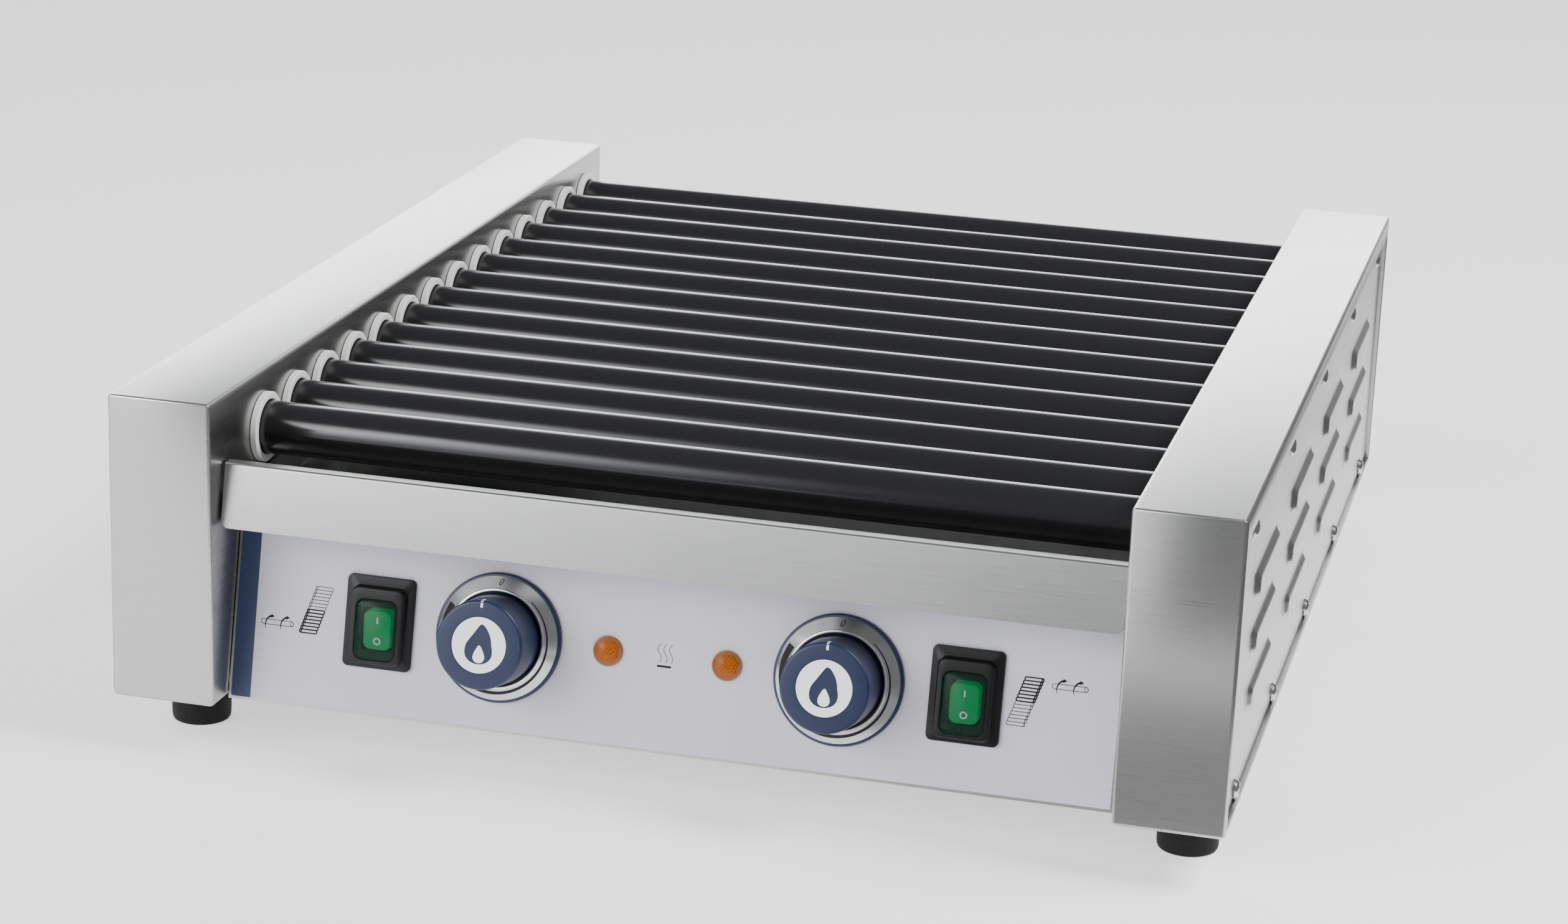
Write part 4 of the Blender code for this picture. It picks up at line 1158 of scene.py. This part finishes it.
def makeLamp(side, x):
    radius, proud, body, deep = [lampSizes[key] for key in ("radius", "proud", "body", "deep")]
    turns = [math.pi / 2 * k / 12 for k in range(13)]
    lens = [(0.93 * radius * math.sin(turn), 2.2 + (proud - 2.2) * math.cos(turn)) for turn in turns]
    lens += [(radius - 0.1, 1.8), (radius, 1.2), (radius, 0.4), (radius - 0.3, 0.22), (radius - 0.45, 0.22),
             (radius - 0.45, 1.6), (body, 2.2), (0, 2.3)]
    seat = [(0, 0.55), (body, 0.55), (radius - 0.5, 0.75), (radius - 0.5, 0.22), (body, 0.22), (body, -deep),
            (0, -deep)]
    pitch = lampSizes["prismPitch"]
    prisms = grow(prismTree, {"Side": pitch * 8, "Count": 9, "Circle": body - 0.4, "Base": pitch * 0.70,
                              "Height": lampSizes["prismTall"], "Finish": prismAmber})
    prisms.transform(Matrix.Translation((0, 0, 0.5)) @ Matrix.Rotation(0.7, 4, "Z"))
    place = panelPlace @ Matrix.Translation((x, controlUp, 0))
    makePiece("lamp_lens_" + side, [(lathe(lens, 64), lensAmber)], "body", (), place, 40)
    makePiece("lamp_body_" + side, [(lathe(seat, 48), lampShade), (facesOut(prisms), prismAmber)], "body",
              ["indicator_lamp_" + side], place, 20)


for side, sign in (("left", -1), ("right", 1)):
    makeSwitch(side, sign * switchX)
    makeLamp(side, sign * lampX)
print("switches and lamps made")

# finishes for the inner CAD pieces that stay as they are

innerFinishes = {"heater_bank": heaterSheath, "gear_motor": zincPlate, "motor_sprocket": zincPlate,
                 "drive_chain": chainSteel, "thermostat_left": zincPlate, "thermostat_right": zincPlate}
for node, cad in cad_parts.items():
    for start, finish in innerFinishes.items():
        if node.startswith(start):
            cad.data.materials.clear()
            cad.data.materials.append(finish)

# floor, lights and camera

studio = {"floorHalf": 9.0, "floorGlow": 0.7, "sky": "#e9ebee", "dim": 0.36, "band": 7.5, "patch": 11.0,
          "seen": 2.0}


def makePlane(name, corners, finish):
    mesh = bpy.data.meshes.new(name)
    mesh.from_pydata(corners, [], [(0, 1, 2, 3)])
    mesh.materials.append(finish)
    plane = bpy.data.objects.new(name, mesh)
    scene.collection.objects.link(plane)
    return plane


half = studio["floorHalf"]
sweep = makeFinish("matt white sweep", ("#f4f4f4", "#f8f8f8"), (0.85, 0.95), 40, 0.01,
                   {"Emission Color": (1, 1, 1, 1), "Emission Strength": studio["floorGlow"]})
corners = [(-half, -half, 0), (half, -half, 0), (half, half, 0), (-half, half, 0)]
floor = makePlane("studio_floor", corners, sweep)

# a dim sky with a bright low band behind the grill and a soft patch in front on the left
world = bpy.data.worlds.new("studio")
scene.world = world
world.use_nodes = True
sky = world.node_tree
generated = addNode(sky, "ShaderNodeTexCoord").outputs["Generated"]
way = addNode(sky, "ShaderNodeSeparateXYZ", {}, {0: generated}).outputs


def skyGlow(strength, fades):
    # each fade is an axis, the two values it runs between, and where on the axis it starts and ends
    glow = None
    for axis, low, high, start, end in fades:
        part = spread(sky, way[axis], low, high, start, end)
        glow = part if glow is None else addNode(sky, "ShaderNodeMath", {"operation": "MULTIPLY"},
                                                 {0: glow, 1: part}).outputs[0]
    return addNode(sky, "ShaderNodeMath", {"operation": "MULTIPLY", 1: strength}, {0: glow}).outputs[0]


band = skyGlow(studio["band"], [(1, 0, 1, 0.55, 0.8), (2, 1, 0, 0.34, 0.52), (0, 1, 0, 0.10, 0.35)])
patch = skyGlow(studio["patch"], [(0, 1, 0, -0.42, -0.20), (1, 1, 0, -0.75, -0.35), (2, 1, 0, 0.50, 0.75),
                                  (2, 0.2, 1, 0.05, 0.45)])
both = addNode(sky, "ShaderNodeMath", {"operation": "ADD"}, {0: band, 1: patch}).outputs[0]
glow = addNode(sky, "ShaderNodeMath", {"operation": "ADD", 1: studio["dim"]}, {0: both}).outputs[0]
seen = addNode(sky, "ShaderNodeLightPath").outputs["Is Camera Ray"]
level = mixed(sky, seen, glow, studio["seen"])
sky.nodes["Background"].inputs[0].default_value = linear(studio["sky"])
sky.links.new(level, sky.nodes["Background"].inputs[1])

softboxes = {  # where each hangs, what it points at, its size in metres and its power in watts
    "frontLeft": ((-1.3, -1.3, 0.9), (-0.1, -0.2, 0.08), (1.0, 1.0), 12),
    "highRight": ((1.5, -0.2, 1.9), (0, 0, 0.1), (1.0, 1.0), 70),
}
for name, (spot, target, size, power) in softboxes.items():
    light = bpy.data.lights.new(name, "AREA")
    light.shape = "RECTANGLE"
    light.size, light.size_y = size
    light.energy = power
    lamp = bpy.data.objects.new(name, light)
    scene.collection.objects.link(lamp)
    lamp.location = spot
    lamp.rotation_euler = (Vector(target) - Vector(spot)).to_track_quat("-Z", "Y").to_euler()

cards = {  # grey cards that only show in reflections: two tones of felt, and the corners in metres
    "rightCard": (("#5f5f5f", "#6b6b6b"),
                  ((0.38, -1.2, 0), (0.38, 1.0, 0), (0.38, 1.0, 0.6), (0.38, -1.2, 0.6))),
    "farCard": (("#444444", "#505050"),
                ((-0.9, -6.0, 0.004), (3.0, -6.0, 0.004), (0.6, -0.66, 0.004), (0.02, -0.66, 0.004))),
    "nearCard": (("#828282", "#8e8e8e"),
                 ((0.06, -0.54, 0.004), (0.6, -0.54, 0.004), (0.6, -0.31, 0.004), (0.06, -0.31, 0.004))),
}
for name, (tones, corners) in cards.items():
    felt = makeFinish("grey felt, " + name, tones, (0.9, 1.0), 5, 0.01)
    card = makePlane(name, corners, felt)
    card.visible_camera = card.visible_diffuse = card.visible_shadow = False

# angles in degrees, the lens in millimetres and the place in metres
viewpoint = {"azimuth": 14.04, "elevation": 17.28, "roll": 2.08, "lens": 84.4, "sensor": 36.0,
             "place": (0.4263, -1.7662, 0.6481)}
azimuth, elevation, roll = [math.radians(viewpoint[key]) for key in ("azimuth", "elevation", "roll")]
turn = Matrix.Rotation(azimuth, 4, "Z") @ Matrix.Rotation(math.pi / 2 - elevation, 4, "X")
camera = bpy.data.objects.new("camera", bpy.data.cameras.new("camera"))
scene.collection.objects.link(camera)
camera.matrix_world = Matrix.Translation(viewpoint["place"]) @ turn @ Matrix.Rotation(roll, 4, "Z")
camera.data.sensor_width = viewpoint["sensor"]
camera.data.lens = viewpoint["lens"]
scene.camera = camera
print("studio ready")
